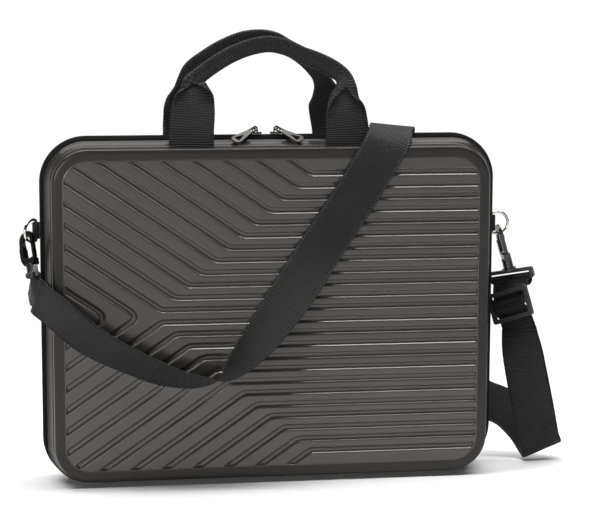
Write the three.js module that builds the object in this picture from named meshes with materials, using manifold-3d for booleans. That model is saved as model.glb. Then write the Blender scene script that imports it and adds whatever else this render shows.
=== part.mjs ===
// Laptop hard case: two moulded shells joined by a zip and a bottom hinge, two webbing
// handles and a shoulder strap on swivel hooks. Millimetres, +Z up, the panel faces -Y.
import * as THREE from "three";
import { mergeVertices } from "three/addons/utils/BufferGeometryUtils.js";
import Module from "manifold-3d";

const wasm = await Module();
wasm.setup();

// Case
const caseWidth = 391;
const caseHeight = 299;
const rimRadius = 36;
const frontDepth = 31;
const backDepth = 31;
const leastRadius = 3;
const cornerSteps = 7;
const weldReach = 0.0001;

// Each shell's profile: how far in from the rim outline, and how deep from the parting plane
const borderWidth = 9.4;
const panelEdgeInset = 5.2;
const panelEdgeDepth = 20;
const reliefHeight = 0.8;
const stepInset = 6.4;
const stepBevel = 0.6;
const stepFloor = 1.6;
const lipDrop = 0.4;
const lipBevel = 0.7;
const slopeInset = 2;
const slopeRise = 4;
const wallThickness = 2.4;
const rimGap = 6;
const beadWidth = 3;
const beadHeight = 1.2;
const beadFoot = 0.6;
const beadShoulder = 0.2;
const rollShares = [[0.6, 0.03], [0.3, 0.17], [0.1, 0.45], [0, 0.85]];
const beadShares = [[0.15, 0.93], [0, 0.7], [0, 0.3], [1, 0]];

// Inside of the shells
const throatInset = 2;
const throatRise = 6;
const innerStep = 2.6;
const innerCorner = 4;
const innerRound = 0.8;
const innerEdge = 0.6;

// Grooves of the panel
const groovePitch = 10.6;
const grooveRows = 12;
const grooveTopHalf = 3;
const grooveFloorHalf = 1.4;
const grooveDepth = 1.9;
const raisedOverlap = 0.4;
const endWall = 0.5;
const diagonalSlopeShare = 0.687;
const innerBendX = -97.5;
const bendShift = 11.76;
const bendRadius = 12;
const bendSteps = 4;
const noseCount = 2;
const noseRadius = 7;
const leastMiterShare = 0.5;

// Foot, hinge and zip
const footLength = 280;
const footNear = 8;
const footFar = 20;
const footHeight = 6;
const footFlare = 1.5;
const footEdge = 1;
const footCrown = 1.2;
const hingeLength = 298;
const hingeThickness = 1.6;
const hingeHeight = 0.9;
const partGap = 0.3;
const crestOutset = 4;
const crestBottom = 0.8;
const crestDropShare = 0.1;
const tapeLap = 2.2;
const tapeLip = 0.2;
const tapeEdge = 1;
const tapeShoulder = 0.6;
const tapeRoot = 2.1;
const coilHeight = 2.2;
const coilWidth = 1.5;
const coilRound = 0.7;
const coilRoundShare = 0.7;
const zipSteps = 6;

// Lining and what is in it
const liningGap = 0.5;
const liningStart = 0.6;
const liningThickness = 1.2;
const gussetHeight = 105;
const gussetThickness = 0.8;
const retainerWidth = 25;
const retainerThickness = 1.2;
const retainerInset = 35.5;
const retainerReach = 100;
const retainerHeight = 60;
const pocketWidth = 260;
const pocketHeight = 150;
const pocketThickness = 1.2;
const pocketDrop = 20;

// Handles
const frontHandleX = -1.9;
const frontLegSpacing = 136.6;
const frontHandleRise = 86.5;
const backHandleX = -4.75;
const backLegSpacing = 133.9;
const backHandleRise = 91;
const legWidth = 38;
const legThickness = 1.8;
const legRootSetback = 1.1;
const legRootDrop = 4.8;
const gripWidth = 12;
const gripThickness = 4.6;
const gripDepth = 4.2;
const anchorWidth = 46;
const anchorDepth = 9;
const anchorSetback = 3;
const anchorThickness = 1.5;
const rivetRadius = 3;
const rivetHeight = 1.2;
const rivetSides = 16;
const rivetShare = 1 / 3;
const rivetTaperShare = 0.7;

// Zip sliders and pullers
const sliderCenterX = -3.5;
const sliderSpacing = 17;
const sliderLength = 10;
const sliderWidth = 7.2;
const sliderHeight = 1.5;
const sliderEndShare = 0.6;
const bailRadius = 2.9;
const bailWire = 0.7;
const bailRise = 2;
const bailSink = 0.5;
const bailShift = 1.2;
const bailForward = 1;
const bailSteps = 8;
const bailSides = 6;
const pivotRise = 3;
const pullerLength = 27;
const pullerWidth = 10;
const pullerThickness = 1.5;
const pullerTurn = 35;
const pullerDrop = 22;
const pullerTwist = 25;
const pullerNeckShare = 0.5;
const pullerNeckEndShare = 0.24;
const pullerShoulderShare = 0.82;
const crossbarHalf = 0.7;
const eyeLength = 4.8;
const eyeHalf = 1.6;
const gripStartShare = 0.5;
const gripEndShare = 0.84;
const gripWidthShare = 0.62;

// Rings and their tabs
const ringRadius = 9.8;
const ringWire = 1.3;
const ringHeightShare = 0.737;
const ringOffset = 5.4;
const ringSides = 8;
const ringSteps = 24;
const ringArcShare = 0.93;
const ringBarShare = 0.8;
const tabHeight = 15;
const tabThickness = 1.2;
const tabDepth = 12.5;
const tabReach = 6.4;
const tabHollow = 2.1;
const tabShift = 0.5;
const tabRoot = 6;
const tabSteps = 8;

// Swivel hooks
const hookLength = 41;
const hookHalfWidth = 8;
const hookThickness = 6.4;
const hookHead = 5;
const hookBase = 5;
const hookOverlap = 1;
const hookTip = 2;
const hookTaper = 15;
const hookShoulder = 0.7;
const beakDrop = 4;
const stemShare = 0.5;
const beakShare = 0.85;
const gateShare = 0.8;
const gateThickness = 3.6;
const throatDrop = 8;
const barrelRadius = 4.6;
const barrelLength = 9;
const postRadius = 1.5;
const boreDrop = 2;
const flangeRadius = 6.4;
const flangeThickness = 1.3;
const postReach = 5;
const loopInside = 39;
const loopEnd = 3.6;
const loopBar = 3;
const loopSlot = 3.9;
const loopRoundShare = 0.85;
const roundSegments = 24;
const arcSegments = 5;

// Strap and adjuster
const strapWidth = 38;
const strapThickness = 1.5;
const strapSlack = 0.5;
const strapSteps = 3;
const edgeShare = 0.6;
const cutShare = 0.02;
const adjusterHeight = 28;
const adjusterSide = 3.8;
const adjusterBar = 4;
const adjusterThickness = 3;
const adjusterRound = 3;
const adjusterPlay = 0.6;
const adjusterOffset = [-3.8, -11.4, -22];

const fabricColor = 0x1b1b1d;
const shellColor = 0x3c3a39;
const tapeColor = 0x141415;
const metalColor = 0x5a5a5e;
const nickelColor = 0xb9b9bd;
const liningColor = 0x2b2b2e;

const halfWidth = caseWidth / 2;
const middleHeight = caseHeight / 2;
const ringHeight = caseHeight * ringHeightShare;
const legRootDepth = panelEdgeDepth - legRootSetback;
const legRootHeight = caseHeight - legRootDrop;
const footMiddle = (footNear + footFar) / 2;
const fieldInset = panelEdgeInset + borderWidth;

const group = new THREE.Group();

function material(color, roughness, metalness) {
  return new THREE.MeshStandardMaterial({ color, roughness, metalness });
}

const shellMaterial = material(shellColor, 0.42, 0);
const webMaterial = material(fabricColor, 0.9, 0);
const liningMaterial = material(liningColor, 0.95, 0);
const metalMaterial = material(metalColor, 0.35, 1);
const nickelMaterial = material(nickelColor, 0.18, 1);
const tapeMaterial = material(tapeColor, 0.85, 0);

// Adds a mesh; the origin of the part is the middle of the foot, behind the parting plane.
function add(name, geometry, surface) {
  const moved = geometry.clone();
  moved.translate(0, -footMiddle, 0);
  const mesh = new THREE.Mesh(moved, surface);
  mesh.name = name;
  group.add(mesh);
  return mesh;
}

function solidOf(geometry) {
  const bare = geometry.clone();
  bare.deleteAttribute("normal");
  bare.deleteAttribute("uv");
  const welded = mergeVertices(bare, weldReach);
  const vertProperties = new Float32Array(welded.attributes.position.array);
  const triVerts = new Uint32Array(welded.index.array);
  return new wasm.Manifold(new wasm.Mesh({ numProp: 3, vertProperties, triVerts }));
}

function geometryOf(solid) {
  const mesh = solid.getMesh();
  const geometry = new THREE.BufferGeometry();
  geometry.setAttribute("position", new THREE.BufferAttribute(new Float32Array(mesh.vertProperties), 3));
  geometry.setIndex(new THREE.BufferAttribute(new Uint32Array(mesh.triVerts), 1));
  const flat = geometry.toNonIndexed();
  flat.computeVertexNormals();
  return flat;
}

// The largest piece of a cut, without the empty slivers that cutting can leave.
function largest(solid) {
  return solid.decompose().sort((a, b) => b.volume() - a.volume())[0];
}

function join(parts) {
  return parts.reduce((sum, part) => sum.add(part));
}

// The triangles of a fan over a ring of points.
function fan(count) {
  const triangles = [];
  for (let at = 1; at < count - 1; at += 1) {
    triangles.push([0, at, at + 1]);
  }
  return triangles;
}

// A closed skin through rings of points, with the given triangles over each end.
function loft(rings, caps = fan(rings[0].length)) {
  const count = rings[0].length;
  const positions = rings.flat().flatMap((point) => point);
  const index = [];
  for (let ring = 0; ring < rings.length - 1; ring += 1) {
    for (let at = 0; at < count; at += 1) {
      const next = (at + 1) % count;
      const a = ring * count + at;
      const b = ring * count + next;
      const c = a + count;
      const d = b + count;
      index.push(a, b, d, a, d, c);
    }
  }
  const last = (rings.length - 1) * count;
  for (const [a, b, c] of caps) {
    index.push(a, c, b);
    index.push(last + a, last + b, last + c);
  }
  const geometry = new THREE.BufferGeometry();
  geometry.setAttribute("position", new THREE.Float32BufferAttribute(positions, 3));
  geometry.setIndex(index);
  return outward(geometry);
}

function signedVolume(geometry) {
  const p = geometry.attributes.position;
  const i = geometry.index;
  const a = new THREE.Vector3();
  const b = new THREE.Vector3();
  const c = new THREE.Vector3();
  let sum = 0;
  for (let at = 0; at < i.count; at += 3) {
    a.fromBufferAttribute(p, i.getX(at));
    b.fromBufferAttribute(p, i.getX(at + 1));
    c.fromBufferAttribute(p, i.getX(at + 2));
    sum += a.dot(b.cross(c)) / 6;
  }
  return sum;
}

function outward(geometry) {
  if (signedVolume(geometry) < 0) {
    const old = Array.from(geometry.index.array);
    const turned = [];
    for (let at = 0; at < old.length; at += 3) {
      turned.push(old[at], old[at + 2], old[at + 1]);
    }
    geometry.setIndex(turned);
  }
  const flat = geometry.toNonIndexed();
  flat.computeVertexNormals();
  return flat;
}

// Points round a rounded rectangle in the XZ plane, from the bottom's middle.
function outline(inset, bottom = inset, steps = cornerSteps) {
  const half = halfWidth - inset;
  const low = bottom;
  const high = caseHeight - inset;
  const radius = Math.max(rimRadius - inset, leastRadius);
  const corners = [
    [half - radius, low + radius, -Math.PI / 2],
    [half - radius, high - radius, 0],
    [radius - half, high - radius, Math.PI / 2],
    [radius - half, low + radius, Math.PI],
  ];
  const points = [];
  for (const [x, z, start] of corners) {
    for (let step = 0; step <= steps; step += 1) {
      const angle = start + ((Math.PI / 2) * step) / steps;
      points.push([x + radius * Math.cos(angle), z + radius * Math.sin(angle)]);
    }
  }
  return points;
}

function ringAt(inset, depth, side) {
  return outline(inset).map(([x, z]) => [x, side * depth, z]);
}

// Shells
function shellOuter(depth) {
  const face = depth - reliefHeight;
  const roll = face - panelEdgeDepth;
  const bead = rimGap + beadWidth;
  const stepBottom = panelEdgeDepth - stepBevel - stepFloor;
  return [
    [fieldInset, face],
    ...rollShares.map(([inward, down]) => [panelEdgeInset + borderWidth * inward, face - roll * down]),
    [panelEdgeInset, panelEdgeDepth],
    [stepInset, panelEdgeDepth - stepBevel],
    [stepInset, stepBottom],
    [panelEdgeInset - lipDrop, stepBottom - lipBevel],
    [panelEdgeInset - slopeInset, bead + slopeRise],
    [beadHeight + beadShoulder, bead + beadFoot],
    ...beadShares.map(([inward, along]) => [beadHeight * inward, rimGap + beadWidth * along]),
  ];
}

function shellInner(depth) {
  const face = depth - reliefHeight - wallThickness;
  const rim = beadHeight + wallThickness;
  const side = stepInset + wallThickness;
  return [
    [rim, rimGap],
    [rim + throatInset, rimGap + throatRise],
    [side, panelEdgeDepth - innerStep],
    [side, face - innerCorner],
    [side + innerStep, face - innerRound],
    [fieldInset + innerEdge, face],
  ];
}

function prism(points, low, high) {
  const rings = [low, high].map((y) => points.map(([x, z]) => [x, y, z]));
  return solidOf(loft(rings));
}

// Widened outline of a centre line: one side out, the other side back.
function widened(path, half) {
  const left = [];
  const right = [];
  for (let at = 0; at < path.length; at += 1) {
    const before = path[Math.max(at - 1, 0)];
    const after = path[Math.min(at + 1, path.length - 1)];
    const a = new THREE.Vector2(path[at][0] - before[0], path[at][1] - before[1]);
    const b = new THREE.Vector2(after[0] - path[at][0], after[1] - path[at][1]);
    const along = at === 0 ? b.clone() : a.clone();
    if (at > 0 && at < path.length - 1) {
      along.normalize().add(b.clone().normalize());
    }
    along.normalize();
    const reference = at === 0 ? b.clone().normalize() : a.clone().normalize();
    const miter = 1 / Math.max(along.dot(reference), leastMiterShare);
    const shift = half * miter;
    left.push([path[at][0] - along.y * shift, path[at][1] + along.x * shift]);
    right.push([path[at][0] + along.y * shift, path[at][1] - along.x * shift]);
  }
  return left.concat(right.reverse());
}

// A corner rounded with short chords.
function rounded(before, corner, after, radius) {
  const a = new THREE.Vector2(...before).sub(new THREE.Vector2(...corner)).normalize();
  const b = new THREE.Vector2(...after).sub(new THREE.Vector2(...corner)).normalize();
  const half = Math.acos(THREE.MathUtils.clamp(a.dot(b), -1, 1)) / 2;
  const reach = radius / Math.tan(half);
  const start = new THREE.Vector2(...corner).addScaledVector(a, reach);
  const end = new THREE.Vector2(...corner).addScaledVector(b, reach);
  const points = [];
  for (let step = 0; step <= bendSteps; step += 1) {
    const share = step / bendSteps;
    const one = start.clone().lerp(new THREE.Vector2(...corner), share);
    const two = new THREE.Vector2(...corner).lerp(end, share);
    const at = one.lerp(two, share);
    points.push([at.x, at.y]);
  }
  return points;
}

// The triangles of a bent outline, wound the same way as the outline itself.
function triangles(points) {
  const corners = points.map(([x, z]) => new THREE.Vector2(x, z));
  const clockwise = THREE.ShapeUtils.isClockWise(corners);
  const found = THREE.ShapeUtils.triangulateShape(corners, []);
  return found.map(([a, b, c]) => {
    const same = THREE.ShapeUtils.isClockWise([corners[a], corners[b], corners[c]]) === clockwise;
    return same ? [a, b, c] : [a, c, b];
  });
}

const farX = halfWidth + rimRadius;

function groovePaths() {
  const paths = [];
  for (let row = 1; row <= grooveRows; row += 1) {
    const lift = (row - 0.5) * groovePitch;
    const bendX = innerBendX + (row - 1) * bendShift;
    for (const side of [-1, 1]) {
      const corner = [bendX, middleHeight + side * lift];
      const left = [-farX, corner[1] + side * diagonalSlopeShare * (bendX + farX)];
      const right = [farX, corner[1]];
      paths.push([left, ...rounded(left, corner, right, bendRadius), right]);
    }
  }
  const spacing = groovePitch + diagonalSlopeShare * bendShift;
  const firstAt = groovePitch / 2 + diagonalSlopeShare * (innerBendX + halfWidth - fieldInset);
  for (let nose = 1; nose <= noseCount; nose += 1) {
    const lift = firstAt - nose * spacing;
    const tip = [fieldInset - halfWidth + lift / diagonalSlopeShare, middleHeight];
    const reach = tip[0] + farX;
    const upper = [-farX, middleHeight + reach * diagonalSlopeShare];
    const lower = [-farX, middleHeight - reach * diagonalSlopeShare];
    paths.push([upper, ...rounded(upper, tip, lower, noseRadius), lower]);
  }
  return paths;
}

function shell(depth, side, extras = []) {
  const rings = shellOuter(depth).concat(shellInner(depth));
  const tray = solidOf(loft(rings.map(([inset, at]) => ringAt(inset, at, side))));
  const field = outline(fieldInset);
  const under = side * (depth - reliefHeight - raisedOverlap);
  const top = side * depth;
  const raised = prism(field, under, top);
  const floor = side * (depth - grooveDepth);
  const over = side * (depth + reliefHeight);
  const overHalf = grooveTopHalf + (grooveTopHalf - grooveFloorHalf) * (reliefHeight / grooveDepth);
  const cutters = groovePaths().map((path) => {
    const low = widened(path, grooveFloorHalf);
    const high = widened(path, overHalf);
    const caps = triangles(low);
    const rings = [low.map(([x, z]) => [x, floor, z]), high.map(([x, z]) => [x, over, z])];
    return solidOf(loft(rings, caps));
  });
  const inner = outline(fieldInset + endWall);
  const window = prism(inner, side * (depth - 2 * grooveDepth), side * (depth + 2 * reliefHeight));
  const grooves = join(cutters).intersect(window);
  return largest(join([tray, raised, ...extras]).subtract(grooves));
}

const frontShell = shell(frontDepth, -1);
add("front_shell", geometryOf(frontShell), shellMaterial);

const footSection = [
  [footNear + footEdge, 0],
  [footFar, 0],
  [footFar + footFlare, footHeight / 4],
  [footFar + footFlare, footHeight],
  [footMiddle + footFlare, footHeight + footCrown],
  [footNear + footEdge, footHeight / 3],
];
const footRings = [-footLength / 2, footLength / 2].map((x) => footSection.map(([y, z]) => [x, y, z]));
const backShell = shell(backDepth, 1, [solidOf(loft(footRings))]);
add("back_shell", geometryOf(backShell), shellMaterial);

// Linings: a thin tray that follows the inside of each shell
function lining(depth, side) {
  const face = depth - reliefHeight - wallThickness - liningGap;
  const outer = shellInner(depth).map(([inset, at], index) => {
    return [inset + liningGap, index === 0 ? rimGap + liningStart : at - liningGap];
  });
  const inner = outer.map(([inset, at]) => [inset + liningThickness, Math.min(at, face - liningThickness)]);
  const rings = outer.reverse().concat(inner);
  return loft(rings.map(([inset, at]) => ringAt(inset, at, side)));
}
add("front_lining", lining(frontDepth, -1), liningMaterial);
add("back_lining", lining(backDepth, 1), liningMaterial);

// Zip: runs up one side, over the top and down the other, between the shells' rims
function zipLine(outset, bottom) {
  return outline(-outset, bottom, zipSteps);
}

// The strip follows an inner and an outer line; the section's corners are given per line.
function zipStrip(corners) {
  const lines = corners.map(([outset, depth]) => {
    const low = crestBottom + (crestOutset - outset) * crestDropShare;
    return zipLine(outset, low).map(([x, z]) => [x, depth, z]);
  });
  const rings = lines[0].map((_, at) => lines.map((line) => line[at]));
  return loft(rings);
}

for (const [name, side] of [["front", -1], ["back", 1]]) {
  const seat = rimGap - partGap;
  const beside = coilWidth + 2 * partGap;
  const tape = [
    [-beadHeight - tapeLap, side * seat],
    [-beadHeight - tapeLip, side * seat],
    [crestOutset - tapeShoulder, side * (beside + tapeShoulder)],
    [crestOutset - tapeEdge, side * beside],
    [crestOutset - tapeEdge - tapeRoot, side * beside],
  ];
  add(`${name}_zip_tape`, zipStrip(tape), tapeMaterial);
  const near = partGap / 2;
  const far = coilWidth + near;
  const coil = [
    [crestOutset, side * near],
    [crestOutset, side * coilWidth * coilRoundShare],
    [crestOutset - coilRound, side * far],
    [crestOutset - coilHeight, side * far],
    [crestOutset - coilHeight, side * near],
  ];
  add(`${name}_zip_coil`, zipStrip(coil), tapeMaterial);
}

function extruded(shape, depth) {
  return new THREE.ExtrudeGeometry(shape, { depth, bevelEnabled: false, curveSegments: arcSegments });
}

function box(size, at) {
  const geometry = new THREE.BoxGeometry(...size);
  geometry.translate(...at);
  return geometry;
}

// Hinge strip and gussets
const hingeDepth = 2 * (rimGap - partGap);
const hingeMiddle = hingeHeight + hingeThickness / 2;
add("hinge_strip", box([hingeLength, hingeDepth, hingeThickness], [0, 0, hingeMiddle]), tapeMaterial);

// Each gusset is a strip bowed over both linings, seen from above as a flat trough.
const liningFace = beadHeight + wallThickness + liningGap + liningThickness;
const gussetMiddleX = halfWidth - liningFace - 2 * partGap;
const gussetEndX = gussetMiddleX - throatInset;
const gussetNear = rimGap + liningStart;
const gussetFar = rimGap + throatRise - liningGap;
const gussetOuter = [
  [gussetEndX, -gussetFar],
  [gussetMiddleX, -gussetNear],
  [gussetMiddleX, gussetNear],
  [gussetEndX, gussetFar],
];
const gussetInner = gussetOuter.map(([x, y]) => [x - gussetThickness, y]).reverse();
const gussetPlan = gussetOuter.concat(gussetInner);
for (const [name, side] of [["left", -1], ["right", 1]]) {
  const shape = new THREE.Shape(gussetPlan.map(([x, y]) => new THREE.Vector2(side * x, y)));
  const gusset = extruded(shape, gussetHeight);
  gusset.translate(0, 0, rimRadius);
  add(`gusset_${name}`, gusset, liningMaterial);
}

// Flat webbing: a section of given width and thickness along a path
function ribbonRings(stations) {
  return stations.map((station, at) => {
    const before = stations[Math.max(at - 1, 0)].at;
    const after = stations[Math.min(at + 1, stations.length - 1)].at;
    const along = new THREE.Vector3(...after).sub(new THREE.Vector3(...before)).normalize();
    const across = new THREE.Vector3(...station.across);
    across.addScaledVector(along, -across.dot(along)).normalize();
    const up = along.clone().cross(across);
    const w = station.width / 2;
    const t = station.thickness / 2;
    const edge = Math.min(t, w) * edgeShare;
    const section = [
      [-w, -t + edge],
      [-w + edge, -t],
      [w - edge, -t],
      [w, -t + edge],
      [w, t - edge],
      [w - edge, t],
      [-w + edge, t],
      [-w, t - edge],
    ];
    return section.map(([a, b]) => {
      const p = new THREE.Vector3(...station.at).addScaledVector(across, a).addScaledVector(up, b);
      return [p.x, p.y, p.z];
    });
  });
}

function ribbon(stations) {
  return loft(ribbonRings(stations));
}

function mixRings(one, two, share) {
  return one.map((point, at) => point.map((value, axis) => value + (two[at][axis] - value) * share));
}

// One length of a long ribbon; its ends draw back a little from the rings where it was cut.
function length(rings, from, to) {
  const inside = rings.slice(from + 1, to);
  const first = mixRings(rings[from], rings[from + 1], from > 0 ? cutShare : 0);
  const last = mixRings(rings[to], rings[to - 1], to < rings.length - 1 ? cutShare : 0);
  return loft([first, ...inside, last]);
}

// A smooth curve through the stations, with the same values blended along it.
function smooth(stations, steps) {
  const points = stations.map(({ at }) => new THREE.Vector3(...at));
  const sides = stations.map(({ across }) => new THREE.Vector3(...across));
  const sizes = stations.map(({ width, thickness }) => new THREE.Vector3(width, thickness, 0));
  const curves = [points, sides, sizes].map((list) => new THREE.CatmullRomCurve3(list, false, "centripetal"));
  const count = (stations.length - 1) * steps;
  const out = [];
  for (let step = 0; step <= count; step += 1) {
    const share = step / count;
    const at = curves[0].getPoint(share);
    const across = blend(sides, share);
    const size = blend(sizes, share);
    out.push({ at: at.toArray(), across: across.toArray(), width: size.x, thickness: size.y });
  }
  return out;
}

function blend(list, share) {
  const at = share * (list.length - 1);
  const low = Math.min(Math.floor(at), list.length - 2);
  return list[low].clone().lerp(list[low + 1], at - low);
}

// Handles: flat legs that fold to a narrow grip at the shoulder and meet over the zip.
// Shares along each handle: across the legs, in from the root, up to the peak, width.
const handleSteps = 2;
const frontShares = [
  [-1, 1, 0, 0.97],
  [-0.994, 0.94, 0.171, 0.96],
  [-0.972, 0.84, 0.356, 0.87],
  [-0.956, 0.7, 0.506, 0.69],
  [-0.96, 0.6, 0.57, 0.42],
  [-0.97, 0.46, 0.625, 0.12],
  [-0.9, 0.33, 0.68, 0.02],
  [-0.763, 0.19, 0.761, 0],
  [-0.499, 0.09, 0.888, 0],
  [-0.236, 0.02, 0.969, 0],
  [0.013, 0, 1, 0],
  [0.227, 0, 0.967, 0],
  [0.423, 0.05, 0.896, 0],
  [0.613, 0.12, 0.836, 0.04],
  [0.813, 0.26, 0.757, 0.04],
  [0.945, 0.39, 0.673, 0.02],
  [0.975, 0.6, 0.576, 0.17],
  [0.955, 0.73, 0.449, 0.52],
  [0.965, 0.87, 0.333, 0.75],
  [0.985, 0.96, 0.12, 0.9],
  [0.985, 1, 0, 0.97],
];
const backShares = [
  [-1, 1, 0, 1],
  [-1, 0.94, 0.174, 1],
  [-1, 0.8, 0.327, 0.92],
  [-0.996, 0.67, 0.437, 0.68],
  [-0.99, 0.53, 0.514, 0.37],
  [-0.98, 0.39, 0.598, 0.15],
  [-0.915, 0.26, 0.695, 0.15],
  [-0.751, 0.12, 0.8, 0.1],
  [-0.541, 0.05, 0.895, 0.1],
  [-0.264, 0.01, 0.98, 0.08],
  [-0.022, 0, 1, 0.06],
  [0.14, 0, 0.978, 0.05],
  [0.302, 0.02, 0.92, 0],
  [0.482, 0.09, 0.842, 0],
  [0.621, 0.19, 0.756, 0],
  [0.737, 0.33, 0.656, 0],
  [0.8, 0.46, 0.569, 0.12],
  [0.838, 0.6, 0.488, 0.38],
  [0.873, 0.73, 0.39, 0.77],
  [0.913, 0.87, 0.277, 0.88],
  [0.955, 0.97, 0.12, 0.92],
  [0.96, 1, 0, 0.95],
];

function handle(side, middle, spacing, rise, shares) {
  const all = shares.map(([along, deep, high, wide]) => ({
    x: middle + (spacing / 2) * along,
    y: side * (gripDepth + (legRootDepth - gripDepth) * deep),
    z: legRootHeight + rise * high,
    width: gripWidth + (legWidth - gripWidth) * wide,
    thickness: gripThickness + (legThickness - gripThickness) * Math.min(1, wide * 2),
  }));
  const stations = all.map((station, at) => {
    const before = all[Math.max(at - 1, 0)];
    const after = all[Math.min(at + 1, all.length - 1)];
    const along = new THREE.Vector2(after.x - before.x, after.z - before.z).normalize();
    return {
      at: [station.x, station.y, station.z],
      across: [along.y, 0, -along.x],
      width: station.width,
      thickness: station.thickness,
    };
  });
  return ribbon(smooth(stations, handleSteps));
}
const frontHandle = handle(-1, frontHandleX, frontLegSpacing, frontHandleRise, frontShares);
add("front_handle", frontHandle, webMaterial);
const backHandle = handle(1, backHandleX, backLegSpacing, backHandleRise, backShares);
add("back_handle", backHandle, webMaterial);

// Anchor plates inside the shells, each with two rivets
const anchorInset = stepInset + wallThickness + liningGap + liningThickness + partGap;
const legs = {
  front: [-1, frontHandleX, frontLegSpacing],
  back: [1, backHandleX, backLegSpacing],
};
for (const [shellName, [side, middle, spacing]] of Object.entries(legs)) {
  for (const [name, hand] of [["left", -1], ["right", 1]]) {
    const x = middle + (hand * spacing) / 2;
    const y = side * (panelEdgeDepth - anchorDepth / 2 - anchorSetback);
    const top = caseHeight - anchorInset;
    const size = [anchorWidth, anchorDepth, anchorThickness];
    const plate = solidOf(box(size, [x, y, top - anchorThickness / 2]));
    const rivets = [-1, 1].map((end) => {
      const foot = rivetRadius * rivetTaperShare;
      const head = new THREE.CylinderGeometry(rivetRadius, foot, rivetHeight * 2, rivetSides);
      head.rotateX(-Math.PI / 2);
      head.translate(x + end * anchorWidth * rivetShare, y, top - anchorThickness);
      return solidOf(head);
    });
    add(`${shellName}_anchor_${name}`, geometryOf(join([plate, ...rivets])), metalMaterial);
  }
}

// Zip sliders and pullers
const crestTop = caseHeight + crestOutset;
const sliderTop = crestTop + partGap + sliderHeight;
function placed(x, y, z, at) {
  const matrix = new THREE.Matrix4();
  matrix.makeBasis(x, y, z);
  matrix.setPosition(at);
  return matrix;
}

// A wire bridge: two straight legs and a half circle, in the plane of X and Y.
function bridge() {
  const centers = [[bailRadius, -bailRise - bailSink, 0]];
  for (let step = 0; step <= bailSteps; step += 1) {
    const angle = (Math.PI * step) / bailSteps;
    centers.push([bailRadius * Math.cos(angle), bailRadius * Math.sin(angle), angle]);
  }
  centers.push([-bailRadius, -bailRise - bailSink, Math.PI]);
  const rings = centers.map(([x, y, angle]) => {
    const ring = [];
    for (let side = 0; side < bailSides; side += 1) {
      const around = (Math.PI * 2 * side) / bailSides;
      const out = bailWire * Math.cos(around);
      ring.push([x + out * Math.cos(angle), y + out * Math.sin(angle), bailWire * Math.sin(around)]);
    }
    return ring;
  });
  return loft(rings);
}

function sliderBody() {
  const w = sliderWidth / 2;
  const l = sliderLength / 2;
  const end = l * sliderEndShare;
  const shape = new THREE.Shape();
  shape.moveTo(-end, -w);
  shape.lineTo(end, -w);
  shape.quadraticCurveTo(l, -w, l, 0);
  shape.quadraticCurveTo(l, w, end, w);
  shape.lineTo(-end, w);
  shape.quadraticCurveTo(-l, w, -l, 0);
  shape.quadraticCurveTo(-l, -w, -end, -w);
  return extruded(shape, sliderHeight);
}

// The puller lies along X with its crossbar at the origin.
function pullerPlate() {
  const half = pullerWidth / 2;
  const neck = half * pullerNeckShare;
  const tip = pullerLength - crossbarHalf;
  const shoulder = pullerLength * pullerShoulderShare;
  const pull = new THREE.Shape();
  pull.moveTo(-crossbarHalf, -neck);
  pull.lineTo(pullerLength * pullerNeckEndShare, -neck);
  pull.lineTo(shoulder, -half);
  pull.quadraticCurveTo(tip, -half, tip, 0);
  pull.quadraticCurveTo(tip, half, shoulder, half);
  pull.lineTo(pullerLength * pullerNeckEndShare, neck);
  pull.lineTo(-crossbarHalf, neck);
  pull.lineTo(-crossbarHalf, -neck);
  const eye = new THREE.Path();
  eye.moveTo(crossbarHalf, -eyeHalf);
  eye.lineTo(crossbarHalf + eyeLength, -eyeHalf);
  eye.lineTo(crossbarHalf + eyeLength, eyeHalf);
  eye.lineTo(crossbarHalf, eyeHalf);
  eye.lineTo(crossbarHalf, -eyeHalf);
  const [gripStart, gripEnd] = [pullerLength * gripStartShare, pullerLength * gripEndShare];
  const grip = new THREE.Path();
  grip.moveTo(gripStart, 0);
  grip.lineTo(gripEnd, half * gripWidthShare);
  grip.lineTo(gripEnd, -half * gripWidthShare);
  grip.lineTo(gripStart, 0);
  pull.holes.push(eye, grip);
  const plate = extruded(pull, pullerThickness);
  plate.translate(0, 0, -pullerThickness / 2);
  return plate;
}

const upward = new THREE.Vector3(0, 0, 1);
for (const [name, hand] of [["left", -1], ["right", 1]]) {
  const x = sliderCenterX + (hand * sliderSpacing) / 2;
  const turn = THREE.MathUtils.degToRad(pullerTurn);
  const drop = THREE.MathUtils.degToRad(pullerDrop);
  const twist = THREE.MathUtils.degToRad(-hand * pullerTwist);
  const flat = new THREE.Vector3(hand * Math.cos(turn), -Math.sin(turn), 0);
  const at = new THREE.Vector3(x + hand * bailShift, -bailForward, sliderTop);
  const archAt = at.clone().addScaledVector(upward, bailRise);
  const arch = bridge().applyMatrix4(placed(flat, upward, flat.clone().cross(upward), archAt));
  const body = sliderBody();
  body.translate(x, 0, crestTop + partGap);
  add(`zip_slider_${name}`, geometryOf(solidOf(body).add(solidOf(arch))), metalMaterial);

  const along = flat.clone().multiplyScalar(Math.cos(drop)).addScaledVector(upward, -Math.sin(drop));
  const axis = upward.clone().cross(flat).applyAxisAngle(along, -twist);
  const pivot = at.clone().addScaledVector(upward, pivotRise);
  const plate = pullerPlate().applyMatrix4(placed(along, axis, along.clone().cross(axis), pivot));
  add(`zip_puller_${name}`, geometryOf(solidOf(plate)), metalMaterial);
}

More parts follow.
